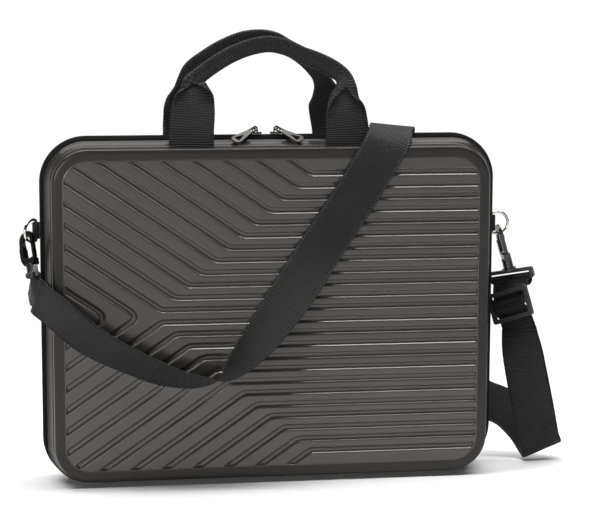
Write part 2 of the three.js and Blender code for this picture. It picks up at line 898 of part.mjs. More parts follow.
// Ring tabs: a webbing loop round the straight side of each ring
const hullRings = shellOuter(backDepth).map(([inset, at]) => ringAt(inset - partGap, at + partGap, 1));
const backHull = solidOf(loft(hullRings));
const tabOuter = tabHollow + tabThickness;
const tabAxisX = halfWidth + tabReach;
const tabBack = tabReach + tabRoot;
function tabSection() {
  const outer = [];
  const inner = [];
  for (let step = 0; step <= tabSteps; step += 1) {
    const angle = -Math.PI / 2 + (Math.PI * step) / tabSteps;
    outer.push([tabShift + tabOuter * Math.cos(angle), tabOuter * Math.sin(angle)]);
    inner.push([tabShift + tabHollow * Math.cos(angle), tabHollow * Math.sin(angle)]);
  }
  const closed = [[-tabBack, -tabOuter], ...outer, [-tabBack, tabOuter]];
  return closed.concat([[-tabBack, tabHollow], ...inner.reverse(), [-tabBack, -tabHollow]]);
}

for (const [name, hand] of [["left", -1], ["right", 1]]) {
  const shape = new THREE.Shape(tabSection().map(([x, y]) => new THREE.Vector2(hand * x, y)));
  const geometry = extruded(shape, tabHeight);
  geometry.translate(hand * tabAxisX, tabDepth, ringHeight - tabHeight / 2);
  const tab = solidOf(geometry).subtract(backHull);
  add(`ring_tab_${name}`, geometryOf(largest(tab)), webMaterial);
}

// Rings: a wire bent to an arc with one straight side, drawn in X and Z with that side on Z
function ringPath() {
  const end = (Math.PI - Math.acos(ringOffset / ringRadius)) * ringArcShare;
  const points = [];
  for (let step = 0; step <= ringSteps; step += 1) {
    const angle = -end + (2 * end * step) / ringSteps;
    points.push([ringOffset + ringRadius * Math.cos(angle), ringRadius * Math.sin(angle)]);
  }
  const straight = Math.sqrt(ringRadius ** 2 - ringOffset ** 2) * ringBarShare;
  points.push([0, straight], [0, -straight]);
  return points;
}

function ringWireBody() {
  const path = ringPath();
  const positions = [];
  const index = [];
  path.forEach(([x, z], at) => {
    const before = path[(at + path.length - 1) % path.length];
    const after = path[(at + 1) % path.length];
    const along = new THREE.Vector2(after[0] - before[0], after[1] - before[1]).normalize();
    for (let side = 0; side < ringSides; side += 1) {
      const around = (Math.PI * 2 * side) / ringSides;
      const out = ringWire * Math.cos(around);
      positions.push(x + along.y * out, ringWire * Math.sin(around), z - along.x * out);
      const next = ((at + 1) % path.length) * ringSides;
      const a = at * ringSides + side;
      const b = at * ringSides + ((side + 1) % ringSides);
      index.push(a, next + side, b, b, next + side, next + ((side + 1) % ringSides));
    }
  });
  const geometry = new THREE.BufferGeometry();
  geometry.setAttribute("position", new THREE.Float32BufferAttribute(positions, 3));
  geometry.setIndex(index);
  return outward(geometry);
}

function frameOf(origin, up, side) {
  const z = new THREE.Vector3(...up).normalize();
  const x = new THREE.Vector3(...side);
  x.addScaledVector(z, -x.dot(z)).normalize();
  const y = z.clone().cross(x);
  return placed(x, y, z, new THREE.Vector3(...origin));
}

// Each side's directions: how far its ring swings forward, where its hook grips the ring,
// the hook's long axis and stem side, and the loop's bar.
const sides = {
  left: {
    hand: -1,
    ringTurn: 48,
    gripTurn: -47,
    up: [-0.11, 0.57, 0.814],
    hookSide: [0.75, -0.6, 0.3],
    across: [0.1, -0.85, 0.42],
  },
  right: {
    hand: 1,
    ringTurn: 0,
    gripTurn: -75,
    up: [-0.272, 0, 0.962],
    hookSide: [0, -1, 0],
    across: [0.72, -0.63, 0.28],
  },
};
const throatHeight = hookLength - throatDrop;
for (const side of Object.values(sides)) {
  const turn = THREE.MathUtils.degToRad(side.ringTurn);
  const out = [side.hand * Math.cos(turn), -Math.sin(turn), 0];
  side.ring = frameOf([side.hand * tabAxisX, tabDepth, ringHeight], [0, 0, 1], out);
  const gripTurn = THREE.MathUtils.degToRad(side.gripTurn);
  const gripOut = ringOffset + ringRadius * Math.cos(gripTurn);
  const grip = new THREE.Vector3(gripOut, 0, ringRadius * Math.sin(gripTurn)).applyMatrix4(side.ring);
  const up = new THREE.Vector3(...side.up).normalize();
  const origin = grip.addScaledVector(up, -throatHeight).toArray();
  side.hook = frameOf(origin, side.up, side.hookSide);
  side.loop = frameOf(origin, side.up, side.across);
}

// Hooks: drawn with the barrel's foot at the origin, the long axis up and the stem at -X
function barrelOf(radius, low, high) {
  const barrel = new THREE.CylinderGeometry(radius, radius, high - low, roundSegments);
  barrel.rotateX(Math.PI / 2);
  barrel.translate(0, 0, (low + high) / 2);
  return solidOf(barrel);
}

const beakEnd = hookLength - hookHalfWidth - beakDrop;
const baseTop = barrelLength + hookBase;
function hookBody() {
  const w = hookHalfWidth;
  const top = hookLength;
  const low = barrelLength - hookOverlap;
  const stem = w * stemShare;
  const beak = w * beakShare;
  const gate = w * gateShare;
  const inside = top - hookHead;
  const outer = new THREE.Shape();
  outer.moveTo(-stem, low);
  outer.quadraticCurveTo(-w, low + stem, -w, barrelLength + w);
  outer.lineTo(-w, top - w);
  outer.quadraticCurveTo(-w, top, 0, top);
  outer.quadraticCurveTo(beak, top, beak, top - w);
  outer.lineTo(beak, beakEnd);
  outer.lineTo(stem, beakEnd);
  outer.quadraticCurveTo(stem, inside, 0, inside);
  outer.quadraticCurveTo(-stem, inside, -stem, inside - stem);
  outer.lineTo(-stem, baseTop + stem);
  outer.quadraticCurveTo(-stem, baseTop, 0, baseTop);
  outer.lineTo(gate, baseTop);
  outer.lineTo(gate, barrelLength);
  outer.quadraticCurveTo(gate, low, stem, low);
  outer.lineTo(-stem, low);
  const plate = extruded(outer, hookThickness);
  plate.translate(0, 0, -hookThickness / 2);
  plate.rotateX(Math.PI / 2);

  // Seen along X the hook is full at the base and narrows to its tip.
  const thick = hookThickness / 2;
  const thin = hookTip / 2;
  const wedge = new THREE.Shape();
  wedge.moveTo(-thick, 0);
  wedge.lineTo(thick, 0);
  wedge.lineTo(thick, top - hookTaper);
  wedge.lineTo(thick - hookShoulder, top - hookTaper);
  wedge.lineTo(thin, top);
  wedge.lineTo(-thin, top);
  wedge.lineTo(hookShoulder - thick, top - hookTaper);
  wedge.lineTo(-thick, top - hookTaper);
  wedge.lineTo(-thick, 0);
  const narrow = extruded(wedge, 4 * w);
  narrow.translate(0, 0, -2 * w);
  narrow.rotateX(Math.PI / 2);
  narrow.rotateZ(Math.PI / 2);
  const claw = solidOf(plate).intersect(solidOf(narrow));
  const bore = barrelOf(postRadius + partGap, -boreDrop, barrelLength - boreDrop);
  return claw.add(barrelOf(barrelRadius, 0, barrelLength)).subtract(bore);
}

const gateLow = baseTop + partGap;
const gateHigh = beakEnd - partGap;
const gateInner = hookHalfWidth * stemShare;
const gateOuter = hookHalfWidth * gateShare;
const gateHalf = (gateOuter - gateInner) / 2;
const gateHinge = [gateInner + gateHalf, gateLow + gateHalf];

// The gate's foot is round, so it turns inside the hook without touching it.
function gateBody() {
  const [x, z] = gateHinge;
  const shape = new THREE.Shape();
  shape.moveTo(gateInner, z);
  shape.absarc(x, z, gateHalf, Math.PI, 2 * Math.PI, false);
  shape.lineTo(gateOuter, gateHigh);
  shape.lineTo(gateInner, gateHigh);
  shape.lineTo(gateInner, z);
  const geometry = extruded(shape, gateThickness);
  geometry.translate(0, 0, -gateThickness / 2);
  geometry.rotateX(Math.PI / 2);
  return geometry;
}

// Draws a rectangle with round corners into a shape, or a plain one into a path.
function roundRect(shape, half, low, high, r) {
  shape.moveTo(-half + r, high);
  shape.lineTo(half - r, high);
  shape.quadraticCurveTo(half, high, half, high - r);
  shape.lineTo(half, low + r);
  shape.quadraticCurveTo(half, low, half - r, low);
  shape.lineTo(-half + r, low);
  shape.quadraticCurveTo(-half, low, -half, low + r);
  shape.lineTo(-half, high - r);
  shape.quadraticCurveTo(-half, high, -half + r, high);
}

function slotPath(half, low, high) {
  const slot = new THREE.Path();
  slot.moveTo(-half, high);
  slot.lineTo(-half, low);
  slot.lineTo(half, low);
  slot.lineTo(half, high);
  slot.lineTo(-half, high);
  return slot;
}

function framePlate(shape, thickness) {
  const geometry = extruded(shape, thickness);
  geometry.translate(0, 0, -thickness / 2);
  geometry.rotateX(Math.PI / 2);
  return solidOf(geometry);
}

// Swivel loop: post, flange and a rectangle that the webbing goes through
const loopTop = -partGap - flangeThickness;
const loopBottom = loopTop - loopSlot - 2 * loopBar;
const loopBarAt = loopBottom + loopBar / 2;
function loopBody() {
  const half = loopInside / 2;
  const frame = new THREE.Shape();
  roundRect(frame, half + loopEnd, loopBottom, loopTop, loopBar * loopRoundShare);
  frame.holes.push(slotPath(half, loopBottom + loopBar, loopTop - loopBar));
  const flange = barrelOf(flangeRadius, loopTop, -partGap);
  const post = barrelOf(postRadius, loopTop - partGap, postReach - partGap);
  return join([framePlate(frame, loopBar), flange, post]);
}

for (const [name, { hook, loop, ring }] of Object.entries(sides)) {
  add(`ring_${name}`, ringWireBody().applyMatrix4(ring), nickelMaterial);
  add(`hook_${name}`, geometryOf(hookBody()).applyMatrix4(hook), metalMaterial);
  add(`gate_${name}`, gateBody().applyMatrix4(hook), metalMaterial);
  add(`loop_${name}`, geometryOf(loopBody()).applyMatrix4(loop), metalMaterial);
}

// Adjuster: a frame with three bars, hanging below and before the right loop's bar
const adjusterUp = [-0.22, 0.25, 0.94];
const adjusterAcross = [0.54, -0.76, 0.36];
const rightBar = new THREE.Vector3(0, 0, loopBarAt).applyMatrix4(sides.right.loop);
const adjusterAt = rightBar.clone().add(new THREE.Vector3(...adjusterOffset));
const adjusterPlace = frameOf(adjusterAt.toArray(), adjusterUp, adjusterAcross);
const adjusterHalf = strapWidth / 2 + adjusterPlay;
const adjusterSlot = (adjusterHeight - 3 * adjusterBar) / 2;
const halfAdjuster = adjusterHeight / 2;
function adjusterBody() {
  const frame = new THREE.Shape();
  const near = adjusterBar / 2;
  roundRect(frame, adjusterHalf + adjusterSide, -halfAdjuster, halfAdjuster, adjusterRound);
  frame.holes.push(slotPath(adjusterHalf, near, near + adjusterSlot));
  frame.holes.push(slotPath(adjusterHalf, -near - adjusterSlot, -near));
  return framePlate(frame, adjusterThickness);
}
add("adjuster", geometryOf(adjusterBody()).applyMatrix4(adjusterPlace), metalMaterial);

// Shoulder strap: each place is given in shares of half the width, the front's depth and
// the height, with the direction that the webbing's width takes there.
function station(at, across) {
  return { at, across, width: strapWidth, thickness: strapThickness };
}

function atShares(rows) {
  return rows.map(([[x, y, z], across]) => station([x * halfWidth, y * frontDepth, z * caseHeight], across));
}

// Stations that carry the webbing round a loop's bar, from one side to the other.
const wrapRadius = loopBar / 2 + partGap + strapThickness / 2 + strapSlack;
const wrapSteps = 8;
const wrapShares = [1.05, -0.05];
function wrap(place, from, to) {
  const across = new THREE.Vector3(1, 0, 0).transformDirection(place).toArray();
  const out = [];
  for (let step = 0; step <= wrapSteps; step += 1) {
    const angle = Math.PI * (from + ((to - from) * step) / wrapSteps);
    const y = -wrapRadius * Math.cos(angle);
    const z = loopBarAt + wrapRadius * Math.sin(angle);
    out.push(station(new THREE.Vector3(0, y, z).applyMatrix4(place).toArray(), across));
  }
  return out;
}

// Places in a loop's or the adjuster's own frame, in shares of the wrap's radius.
function inPlace(place, middle, rows, acrossOf) {
  return rows.map(([y, z, mix]) => {
    const point = new THREE.Vector3(0, y * wrapRadius, middle + z * wrapRadius).applyMatrix4(place);
    return station(point.toArray(), acrossOf(mix));
  });
}

function mixed(one, two) {
  const a = new THREE.Vector3(...one);
  const b = new THREE.Vector3(...two);
  return (share) => a.clone().lerp(b, share).toArray();
}

const leftStations = atShares([
  [[-1.045, -0.92, 0.57], [0.48, -0.76, 0.44]],
  [[-1.02, -1.08, 0.554], [0.52, -0.73, 0.46]],
  [[-0.977, -1.27, 0.533], [0.54, -0.68, 0.5]],
  [[-0.926, -1.43, 0.506], [0.56, -0.64, 0.52]],
  [[-0.841, -1.45, 0.457], [0.56, -0.6, 0.57]],
]);
const frontStations = atShares([
  [[-0.742, -1.47, 0.415], [0.5, -0.66, 0.56]],
  [[-0.624, -1.49, 0.376], [0.4, -0.72, 0.56]],
  [[-0.529, -1.51, 0.348], [0.3, -0.76, 0.57]],
  [[-0.427, -1.55, 0.327], [0.12, -0.84, 0.53]],
  [[-0.324, -1.61, 0.32], [0.02, -0.92, 0.4]],
  [[-0.251, -1.65, 0.327], [0.1, -0.98, 0.2]],
  [[-0.199, -1.65, 0.351], [0.28, -0.96, 0]],
  [[-0.145, -1.6, 0.386], [0.42, -0.88, -0.18]],
  [[-0.081, -1.52, 0.432], [0.55, -0.76, -0.34]],
  [[-0.003, -1.43, 0.498], [0.68, -0.58, -0.42]],
  [[0.092, -1.28, 0.582], [0.78, -0.36, -0.5]],
  [[0.22, -1.08, 0.706], [0.84, -0.06, -0.54]],
  [[0.348, -1.06, 0.829], [0.86, 0, -0.5]],
]);
const topStations = atShares([
  [[0.46, -1.08, 0.95], [0.92, 0, -0.38]],
  [[0.499, -0.98, 0.993], [0.95, 0, -0.3]],
  [[0.524, -0.68, 1.019], [0.97, -0.12, -0.2]],
  [[0.54, -0.29, 1.031], [0.97, -0.18, -0.12]],
  [[0.553, 0, 1.034], [0.97, -0.2, -0.1]],
  [[0.567, 0.29, 1.031], [0.97, -0.18, -0.08]],
  [[0.583, 0.71, 1.019], [0.98, -0.1, -0.04]],
  [[0.593, 1.01, 0.992], [0.99, 0, 0.05]],
  [[0.598, 1.13, 0.946], [0.99, 0, 0.1]],
]);
const rearStations = atShares([
  [[0.619, 1.13, 0.803], [0.99, 0, 0.12]],
  [[0.66, 1.15, 0.619], [0.96, 0, 0.25]],
  [[0.737, 1.16, 0.435], [0.9, 0.1, 0.42]],
  [[0.87, 1.26, 0.268], [0.66, 0.3, 0.7]],
  [[1.038, 1.32, 0.184], [0.24, 0.5, 0.83]],
  [[1.156, 1.26, 0.147], [0.38, 0.45, 0.8]],
  [[1.243, 1.06, 0.094], [0.75, 0.25, 0.6]],
  [[1.289, 0.84, 0.047], [0.9, 0.08, 0.42]],
  [[1.302, 0.65, 0.032], [0.93, 0, 0.37]],
  [[1.3, 0.48, 0.037], [0.93, 0, 0.37]],
  [[1.281, 0.39, 0.067], [0.93, 0, 0.36]],
  [[1.253, 0.34, 0.144], [0.93, -0.1, 0.3]],
]);
const hangingStations = atShares([
  [[1.217, 0.23, 0.241], [0.88, -0.33, 0.25]],
  [[1.179, 0.06, 0.344], [0.74, -0.52, 0.42]],
]);

// The left end turns over its loop's bar, with the sewn tail on the inner side.
function leftWrapStations() {
  const { loop } = sides.left;
  const bar = new THREE.Vector3(1, 0, 0).transformDirection(loop).toArray();
  const acrossOf = mixed(bar, leftStations[0].across);
  const rows = [
    [0.45, -3, 0.3],
    [0.75, -1.3, 0],
  ];
  const tail = inPlace(loop, loopBarAt, rows, acrossOf);
  const lead = inPlace(loop, loopBarAt, [[-1.1, -2.3, 0]], acrossOf);
  return [...tail, ...wrap(loop, ...wrapShares), ...lead];
}

// The hanging run threads the adjuster, turns over the loop's bar and ends behind the centre bar.
const weave = adjusterThickness / 2 + strapThickness / 2 + 2 * partGap;
const weaveShare = 1.35;
function weaveStations() {
  const { loop } = sides.right;
  const bar = new THREE.Vector3(1, 0, 0).transformDirection(loop).toArray();
  const own = new THREE.Vector3(1, 0, 0).transformDirection(adjusterPlace).toArray();
  const acrossOf = mixed(own, bar);
  const edge = halfAdjuster - adjusterBar;
  const middle = edge - adjusterSlot / 2;
  const threaded = [
    [weave, -halfAdjuster - footEdge],
    [weave, -edge],
    [0, -middle],
    [-weave, -adjusterBar / 2],
    [-weave, adjusterBar / 2],
    [0, middle],
    [weave, edge],
    [weave * weaveShare, halfAdjuster + footEdge],
  ].map(([y, z]) => station(new THREE.Vector3(0, y, z).applyMatrix4(adjusterPlace).toArray(), own));
  const [first, last] = wrapShares;
  const rise = inPlace(loop, loopBarAt, [[-1.65, -0.9, 1]], acrossOf);
  const rows = [
    [4, 6.1, 1],
    [2.95, 5.4, 0.9],
    [2.25, 4.8, 0.15],
    [1.8, 3.6, 0],
    [1.38, 2.3, 0],
    [1, 0.65, 0],
    [0.95, -0.65, 0],
  ];
  const tail = inPlace(adjusterPlace, 0, rows, acrossOf);
  return [...threaded, ...rise, ...wrap(loop, last, first), ...tail];
}
const weaving = weaveStations();
const lead = inPlace(adjusterPlace, 0, [[1.3, -7.5, 0]], () => weaving[0].across);
const runs = { left: leftStations, front: frontStations, top: topStations, rear: rearStations };
const freeStations = [...Object.values(runs).flat(), ...hangingStations, ...lead];
const startStations = leftWrapStations();
const strapRings = ribbonRings([...startStations, ...smooth(freeStations, strapSteps), ...weaving]);
let cutAt = 0;
let seen = 0;
for (const [name, list] of Object.entries(runs)) {
  seen += list.length;
  const next = startStations.length + (seen - 1) * strapSteps;
  add(`strap_${name}`, length(strapRings, cutAt, next), webMaterial);
  cutAt = next;
}
add("strap_hanging", length(strapRings, cutAt, strapRings.length - 1), webMaterial);

// Inside: elastic bands on the back lining and a pocket on the front lining
const floorDepth = reliefHeight + wallThickness + liningGap + liningThickness + partGap;
for (const [name, hand] of [["left", -1], ["right", 1]]) {
  const y = backDepth - floorDepth - retainerThickness / 2;
  const stations = [0, retainerReach].map((reach) => ({
    at: [hand * (halfWidth - retainerInset - reach), y, retainerHeight + reach],
    across: [1, 0, hand],
    width: retainerWidth,
    thickness: retainerThickness,
  }));
  add(`retainer_${name}`, ribbon(stations), webMaterial);
}
const pocketY = -(frontDepth - floorDepth - pocketThickness / 2);
const pocketZ = middleHeight - pocketDrop;
add("pocket", box([pocketWidth, pocketThickness, pocketHeight], [0, pocketY, pocketZ]), liningMaterial);

export default group;
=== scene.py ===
import math

import bpy
import numpy as np
from mathutils import Matrix, Vector


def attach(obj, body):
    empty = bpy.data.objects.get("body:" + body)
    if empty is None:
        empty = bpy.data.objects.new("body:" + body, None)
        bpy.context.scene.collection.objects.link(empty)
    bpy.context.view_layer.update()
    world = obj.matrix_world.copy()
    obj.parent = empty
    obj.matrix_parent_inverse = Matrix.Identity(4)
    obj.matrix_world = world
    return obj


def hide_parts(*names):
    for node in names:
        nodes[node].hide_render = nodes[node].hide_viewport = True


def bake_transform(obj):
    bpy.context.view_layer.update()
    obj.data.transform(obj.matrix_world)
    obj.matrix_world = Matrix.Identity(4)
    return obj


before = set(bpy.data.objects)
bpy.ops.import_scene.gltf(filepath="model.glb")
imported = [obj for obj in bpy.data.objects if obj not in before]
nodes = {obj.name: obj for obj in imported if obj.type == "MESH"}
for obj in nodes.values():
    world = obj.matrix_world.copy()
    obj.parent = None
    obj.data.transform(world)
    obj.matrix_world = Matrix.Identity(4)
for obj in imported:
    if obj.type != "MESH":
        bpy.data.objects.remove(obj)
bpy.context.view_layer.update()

# Sizes in millimetres, as in the part's own source but for softer grooves and a softer field edge
MM = 0.001
CASE_WIDTH = 391.0
CASE_HEIGHT = 299.0
RIM_RADIUS = 36.0
FRONT_DEPTH = 31.0
FOOT_MIDDLE = 14.0
BORDER_WIDTH = 9.4
PANEL_EDGE_INSET = 5.2
PANEL_EDGE_DEPTH = 20.0
RELIEF = 0.8
STEP_INSET = 6.4
STEP_FLOOR = 1.6
WALL = 2.4
RIM_GAP = 6.0
PART_GAP = 0.3
BEAD_HEIGHT = 1.2
GROOVE_PITCH = 10.6
GROOVE_ROWS = 12
GROOVE_TOP = 3.3
GROOVE_FLOOR = 1.0
GROOVE_DEPTH = 1.9
GROOVE_END = 0.5
GROOVE_END_RUN = 1.8
FIELD_EDGE_RUN = 1.1
FIELD_RISE = 0.3
DIAGONAL_SLOPE = 0.687
BEND_X = -97.5
BEND_SHIFT = 11.76
BEND_RADIUS = 12.0
NOSE_RADIUS = 7.0
NOSE_COUNT = 2
CREST_OUTSET = 4.0
CREST_BOTTOM = 0.8
LINING_GAP = 0.5
LINING_THICKNESS = 1.2
LINING_START = 0.6
HALF_WIDTH = CASE_WIDTH / 2
MIDDLE_HEIGHT = CASE_HEIGHT / 2
FIELD_INSET = PANEL_EDGE_INSET + BORDER_WIDTH
SIDES = {"front": -1, "back": 1}
SHELL_BODY = {"front": "lid", "back": "back"}
HANDS = {"left": -1, "right": 1}

# Camera: how it turns, and where the part's origin lies from it, in metres
YAW = math.radians(-8.59)
PITCH = math.radians(8.36)
ROLL = math.radians(0.14)
FOCAL_PX = 2000.0
WIDTH_PX = 590
SENSOR = 36.0
CLIP = (0.1, 50.0)
SHIFT = Vector((-0.01773, 0.04377, 1.7286))
FIT_ORIGIN = Vector((0.0, -0.045, 0.1495))


def camera_rotation():
    upright = Matrix(((1, 0, 0), (0, 0, -1), (0, 1, 0)))
    spin = Matrix.Rotation(-YAW, 3, "Z")
    tilt = Matrix.Rotation(PITCH, 3, "X")
    roll = Matrix.Rotation(ROLL, 3, "Z")
    return roll @ tilt @ upright @ spin


def make_camera():
    turn = camera_rotation()
    place = FIT_ORIGIN - turn.transposed() @ SHIFT
    to_blender = Matrix(((1, 0, 0), (0, -1, 0), (0, 0, -1)))
    data = bpy.data.cameras.new("camera")
    data.sensor_width = SENSOR
    data.lens = FOCAL_PX * SENSOR / WIDTH_PX
    data.clip_start, data.clip_end = CLIP
    camera = bpy.data.objects.new("camera", data)
    bpy.context.scene.collection.objects.link(camera)
    camera.matrix_world = Matrix.Translation(place) @ (to_blender @ turn).transposed().to_4x4()
    bpy.context.scene.camera = camera


make_camera()
bpy.context.scene.view_settings.view_transform = "Standard"


# Materials: levels are shares of white, and pitches and bumps are in metres
SOCKETS = {
    "color": "Base Color",
    "rough": "Roughness",
    "metal": "Metallic",
    "normal": "Normal",
    "specular": "Specular IOR Level",
    "sheen": "Sheen Weight",
    "sheen_rough": "Sheen Roughness",
}


class Nodes:
    """A short way to write the node tree of a material or a world."""

    def __init__(self, owner):
        owner.use_nodes = True
        self.owner = owner
        self.tree = owner.node_tree
        self.shader = self.tree.nodes.get("Principled BSDF")

    def add(self, kind, **settings):
        node = self.tree.nodes.new(kind)
        for key, value in settings.items():
            if hasattr(node, key):
                setattr(node, key, value)
            else:
                node.inputs[key].default_value = value
        return node

    def link(self, source, target):
        self.tree.links.new(source, target)

    def math(self, operation, *values):
        node = self.add("ShaderNodeMath", operation=operation)
        for socket, value in zip(node.inputs, values):
            if isinstance(value, (int, float)):
                socket.default_value = value
            else:
                self.link(value, socket)
        return node.outputs[0]

    def ramp(self, value, stops):
        node = self.add("ShaderNodeValToRGB")
        ramp = node.color_ramp
        for at, (place, color) in enumerate(stops):
            stop = ramp.elements[at] if at < 2 else ramp.elements.new(place)
            stop.position = place
            stop.color = (*color, 1)
        self.link(value, node.inputs["Fac"])
        return node.outputs["Color"]

    def range(self, value, low, high, ends=(0.0, 1.0), kind="LINEAR"):
        """The value's range between two ends, taken to the range from low to high."""
        node = self.add("ShaderNodeMapRange", interpolation_type=kind)
        for socket, number in zip(list(node.inputs)[1:5], (*ends, low, high)):
            socket.default_value = number
        self.link(value, node.inputs["Value"])
        return node.outputs["Result"]

    def split(self, vector):
        node = self.add("ShaderNodeSeparateXYZ")
        self.link(vector, node.inputs[0])
        return node.outputs

    def noise(self, scale, detail):
        node = self.add("ShaderNodeTexNoise", Scale=scale, Detail=detail)
        self.link(self.add("ShaderNodeTexCoord").outputs["Object"], node.inputs["Vector"])
        return node.outputs["Fac"]

    def bump(self, height, distance, strength=1.0, before=None):
        node = self.add("ShaderNodeBump", Distance=distance, Strength=strength)
        self.link(height, node.inputs["Height"])
        if before is not None:
            self.link(before, node.inputs["Normal"])
        return node.outputs["Normal"]

    def set(self, **values):
        for key, value in values.items():
            socket = self.shader.inputs[SOCKETS[key]]
            if hasattr(value, "is_output"):
                self.link(value, socket)
            elif isinstance(value, tuple):
                socket.default_value = (*value, 1)
            else:
                socket.default_value = value


def grey(level, warm=0.0):
    return (level * (1 + warm), level, level * (1 - warm * 0.5))


SHELL_WARMTH = 0.12


def moulded(name, level, specular=0.55):
    m = Nodes(bpy.data.materials.new(name))
    cloud = m.noise(9.0, 2.0)
    fine = m.noise(2600.0, 2.0)
    low, high = grey(level * 0.93, SHELL_WARMTH), grey(level * 1.07, SHELL_WARMTH)
    m.set(color=m.ramp(cloud, [(0.3, low), (0.7, high)]))
    m.set(rough=m.range(m.noise(40.0, 2.0), 0.17, 0.2))
    m.set(normal=m.bump(fine, 0.00003, 0.5), specular=specular)
    return m.owner


BUNDLE_PITCH_SHARE = 1.35


def webbing(name, level, pitch, specular, sheen):
    """Ribs across the run, each made of short bundles that alternate."""
    m = Nodes(bpy.data.materials.new(name))
    run = m.split(m.add("ShaderNodeAttribute", attribute_name="run").outputs["Vector"])
    along, across = run[0], run[1]
    turns = 2 * math.pi
    rib = m.math("SINE", m.math("MULTIPLY", along, turns / pitch))
    bundle = m.math("SINE", m.math("MULTIPLY", across, turns / (pitch * BUNDLE_PITCH_SHARE)))
    skew = m.math("MULTIPLY", rib, m.math("MULTIPLY_ADD", bundle, 0.28, 0.72))
    height = m.math("MULTIPLY_ADD", skew, 0.5, 0.5)
    fuzz = m.noise(1400.0, 3.0)
    patch = m.noise(35.0, 3.0)
    # The colour follows the ribs' height: painted shade in the low gaps between ribs and painted highlight on
    # their crests, mixed with patches of random tone
    tone = m.math("MULTIPLY_ADD", height, 0.7, m.math("MULTIPLY", patch, 0.3))
    m.set(color=m.ramp(tone, [(0.15, grey(level * 0.15)), (0.85, grey(level * 2.1))]))
    m.set(rough=m.range(fuzz, 0.5, 0.7))
    rough_bump = m.bump(fuzz, 0.00008, 0.4)
    m.set(normal=m.bump(height, 0.0005, 1.0, rough_bump))
    m.set(specular=specular, sheen=sheen, sheen_rough=0.4)
    return m.owner


def cloth(name, level, scale):
    m = Nodes(bpy.data.materials.new(name))
    weave = m.noise(scale, 2.0)
    cloud = m.noise(25.0, 3.0)
    tone = m.math("MULTIPLY_ADD", weave, 0.6, m.math("MULTIPLY", cloud, 0.4))
    m.set(color=m.ramp(tone, [(0.3, grey(level * 0.6)), (0.7, grey(level * 1.4))]))
    m.set(rough=m.range(weave, 0.75, 0.95))
    m.set(normal=m.bump(weave, 0.00025, 0.7), sheen=0.2)
    return m.owner


def metal(name, level, rough, warm, metallic=1.0):
    m = Nodes(bpy.data.materials.new(name))
    smear = m.noise(70.0, 4.0)
    grain = m.noise(3200.0, 2.0)
    low, high = level * 0.9, level * 1.1
    m.set(color=m.ramp(smear, [(0.3, grey(low, warm)), (0.7, grey(high, warm))]))
    m.set(rough=m.range(smear, rough * 0.8, rough * 1.25), metal=metallic)
    m.set(normal=m.bump(grain, 0.00003, 0.4))
    return m.owner


shell_plastic = moulded("shell_plastic", 0.045)
# The same plastic made darker for the faces round the field: painted shade on the border, groove and rim
shaded_edge_plastic = moulded("shaded_edge_plastic", 0.024, 0.22)
web_black = webbing("web_black", 0.0095, 0.0021, 0.25, 0.03)
tape_black = webbing("tape_black", 0.005, 0.0012, 0.06, 0.0)
teeth_black = moulded("teeth_black", 0.014, 0.3)
lining_cloth = cloth("lining_cloth", 0.03, 1500.0)
pocket_cloth = cloth("pocket_cloth", 0.022, 2200.0)
gunmetal = metal("gunmetal", 0.075, 0.3, 0.02)
nickel = metal("nickel", 0.62, 0.16, 0.03)
painted = metal("painted_metal", 0.07, 0.34, 0.0, 0.4)


# Meshes
def to_frame(points):
    """Points of the part's own source, in millimetres, as metres in the shared frame."""
    out = np.array(points, dtype=float)
    out[:, 1] -= FOOT_MIDDLE
    return out * MM


def sharpen_ends(mesh):
    """Keeps the shading of a skin's side apart from the faces over its ends."""
    pairs = set()
    for face in mesh.polygons:
        if len(face.vertices) > 4:
            pairs.update(face.edge_keys)
    flags = [edge.key in pairs for edge in mesh.edges]
    mesh.attributes.new("sharp_edge", "BOOLEAN", "EDGE").data.foreach_set("value", flags)


def make(name, points, faces, material, normals=None, run=None):
    mesh = bpy.data.meshes.new(name)
    co = to_frame(points)
    mesh.from_pydata(co.tolist(), [], [list(face) for face in faces])
    mesh.validate()
    mesh.shade_smooth()
    sharpen_ends(mesh)
    mesh.materials.append(material)
    if run is not None:
        attribute = mesh.attributes.new("run", "FLOAT_VECTOR", "POINT")
        values = np.zeros((len(co), 3))
        values[:, :2] = np.array(run) * MM
        attribute.data.foreach_set("vector", values.ravel())
    if normals is not None:
        own = np.empty(len(co) * 3)
        mesh.vertex_normals.foreach_get("vector", own)
        own = own.reshape(-1, 3)
        known = ~np.isnan(normals[:, 0])
        own[known] = normals[known]
        mesh.normals_split_custom_set_from_vertices(own.tolist())
    piece = bpy.data.objects.new(name, mesh)
    bpy.context.scene.collection.objects.link(piece)
    return piece


def follow(piece, bodies, ends=()):
    """The piece rides on its one body, or, between two bodies, only has its place baked into its mesh."""
    if len(bodies) == 1:
        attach(piece, bodies[0])
    else:
        [tuple(at) for at in to_frame(ends)]
        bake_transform(piece)


def closed_loft(rings):
    """Points and faces of a skin through rings, with a face over each end."""
    count = len(rings[0])
    points = np.concatenate(rings)
    faces = []
    for ring in range(len(rings) - 1):
        base = ring * count
        for at in range(count):
            after = (at + 1) % count
            faces.append((base + at, base + after, base + count + after, base + count + at))
    last = (len(rings) - 1) * count
    faces.append(tuple(range(count - 1, -1, -1)))
    faces.append(tuple(range(last, last + count)))
    return points, outward(points, faces)


def outward(points, faces):
    """The faces, turned over if they enclose a negative volume."""
    total = 0.0
    origin = points.mean(axis=0)
    for face in faces:
        a = points[face[0]] - origin
        for at in range(1, len(face) - 1):
            total += np.dot(a, np.cross(points[face[at]] - origin, points[face[at + 1]] - origin))
    return faces if total > 0 else [tuple(reversed(face)) for face in faces]


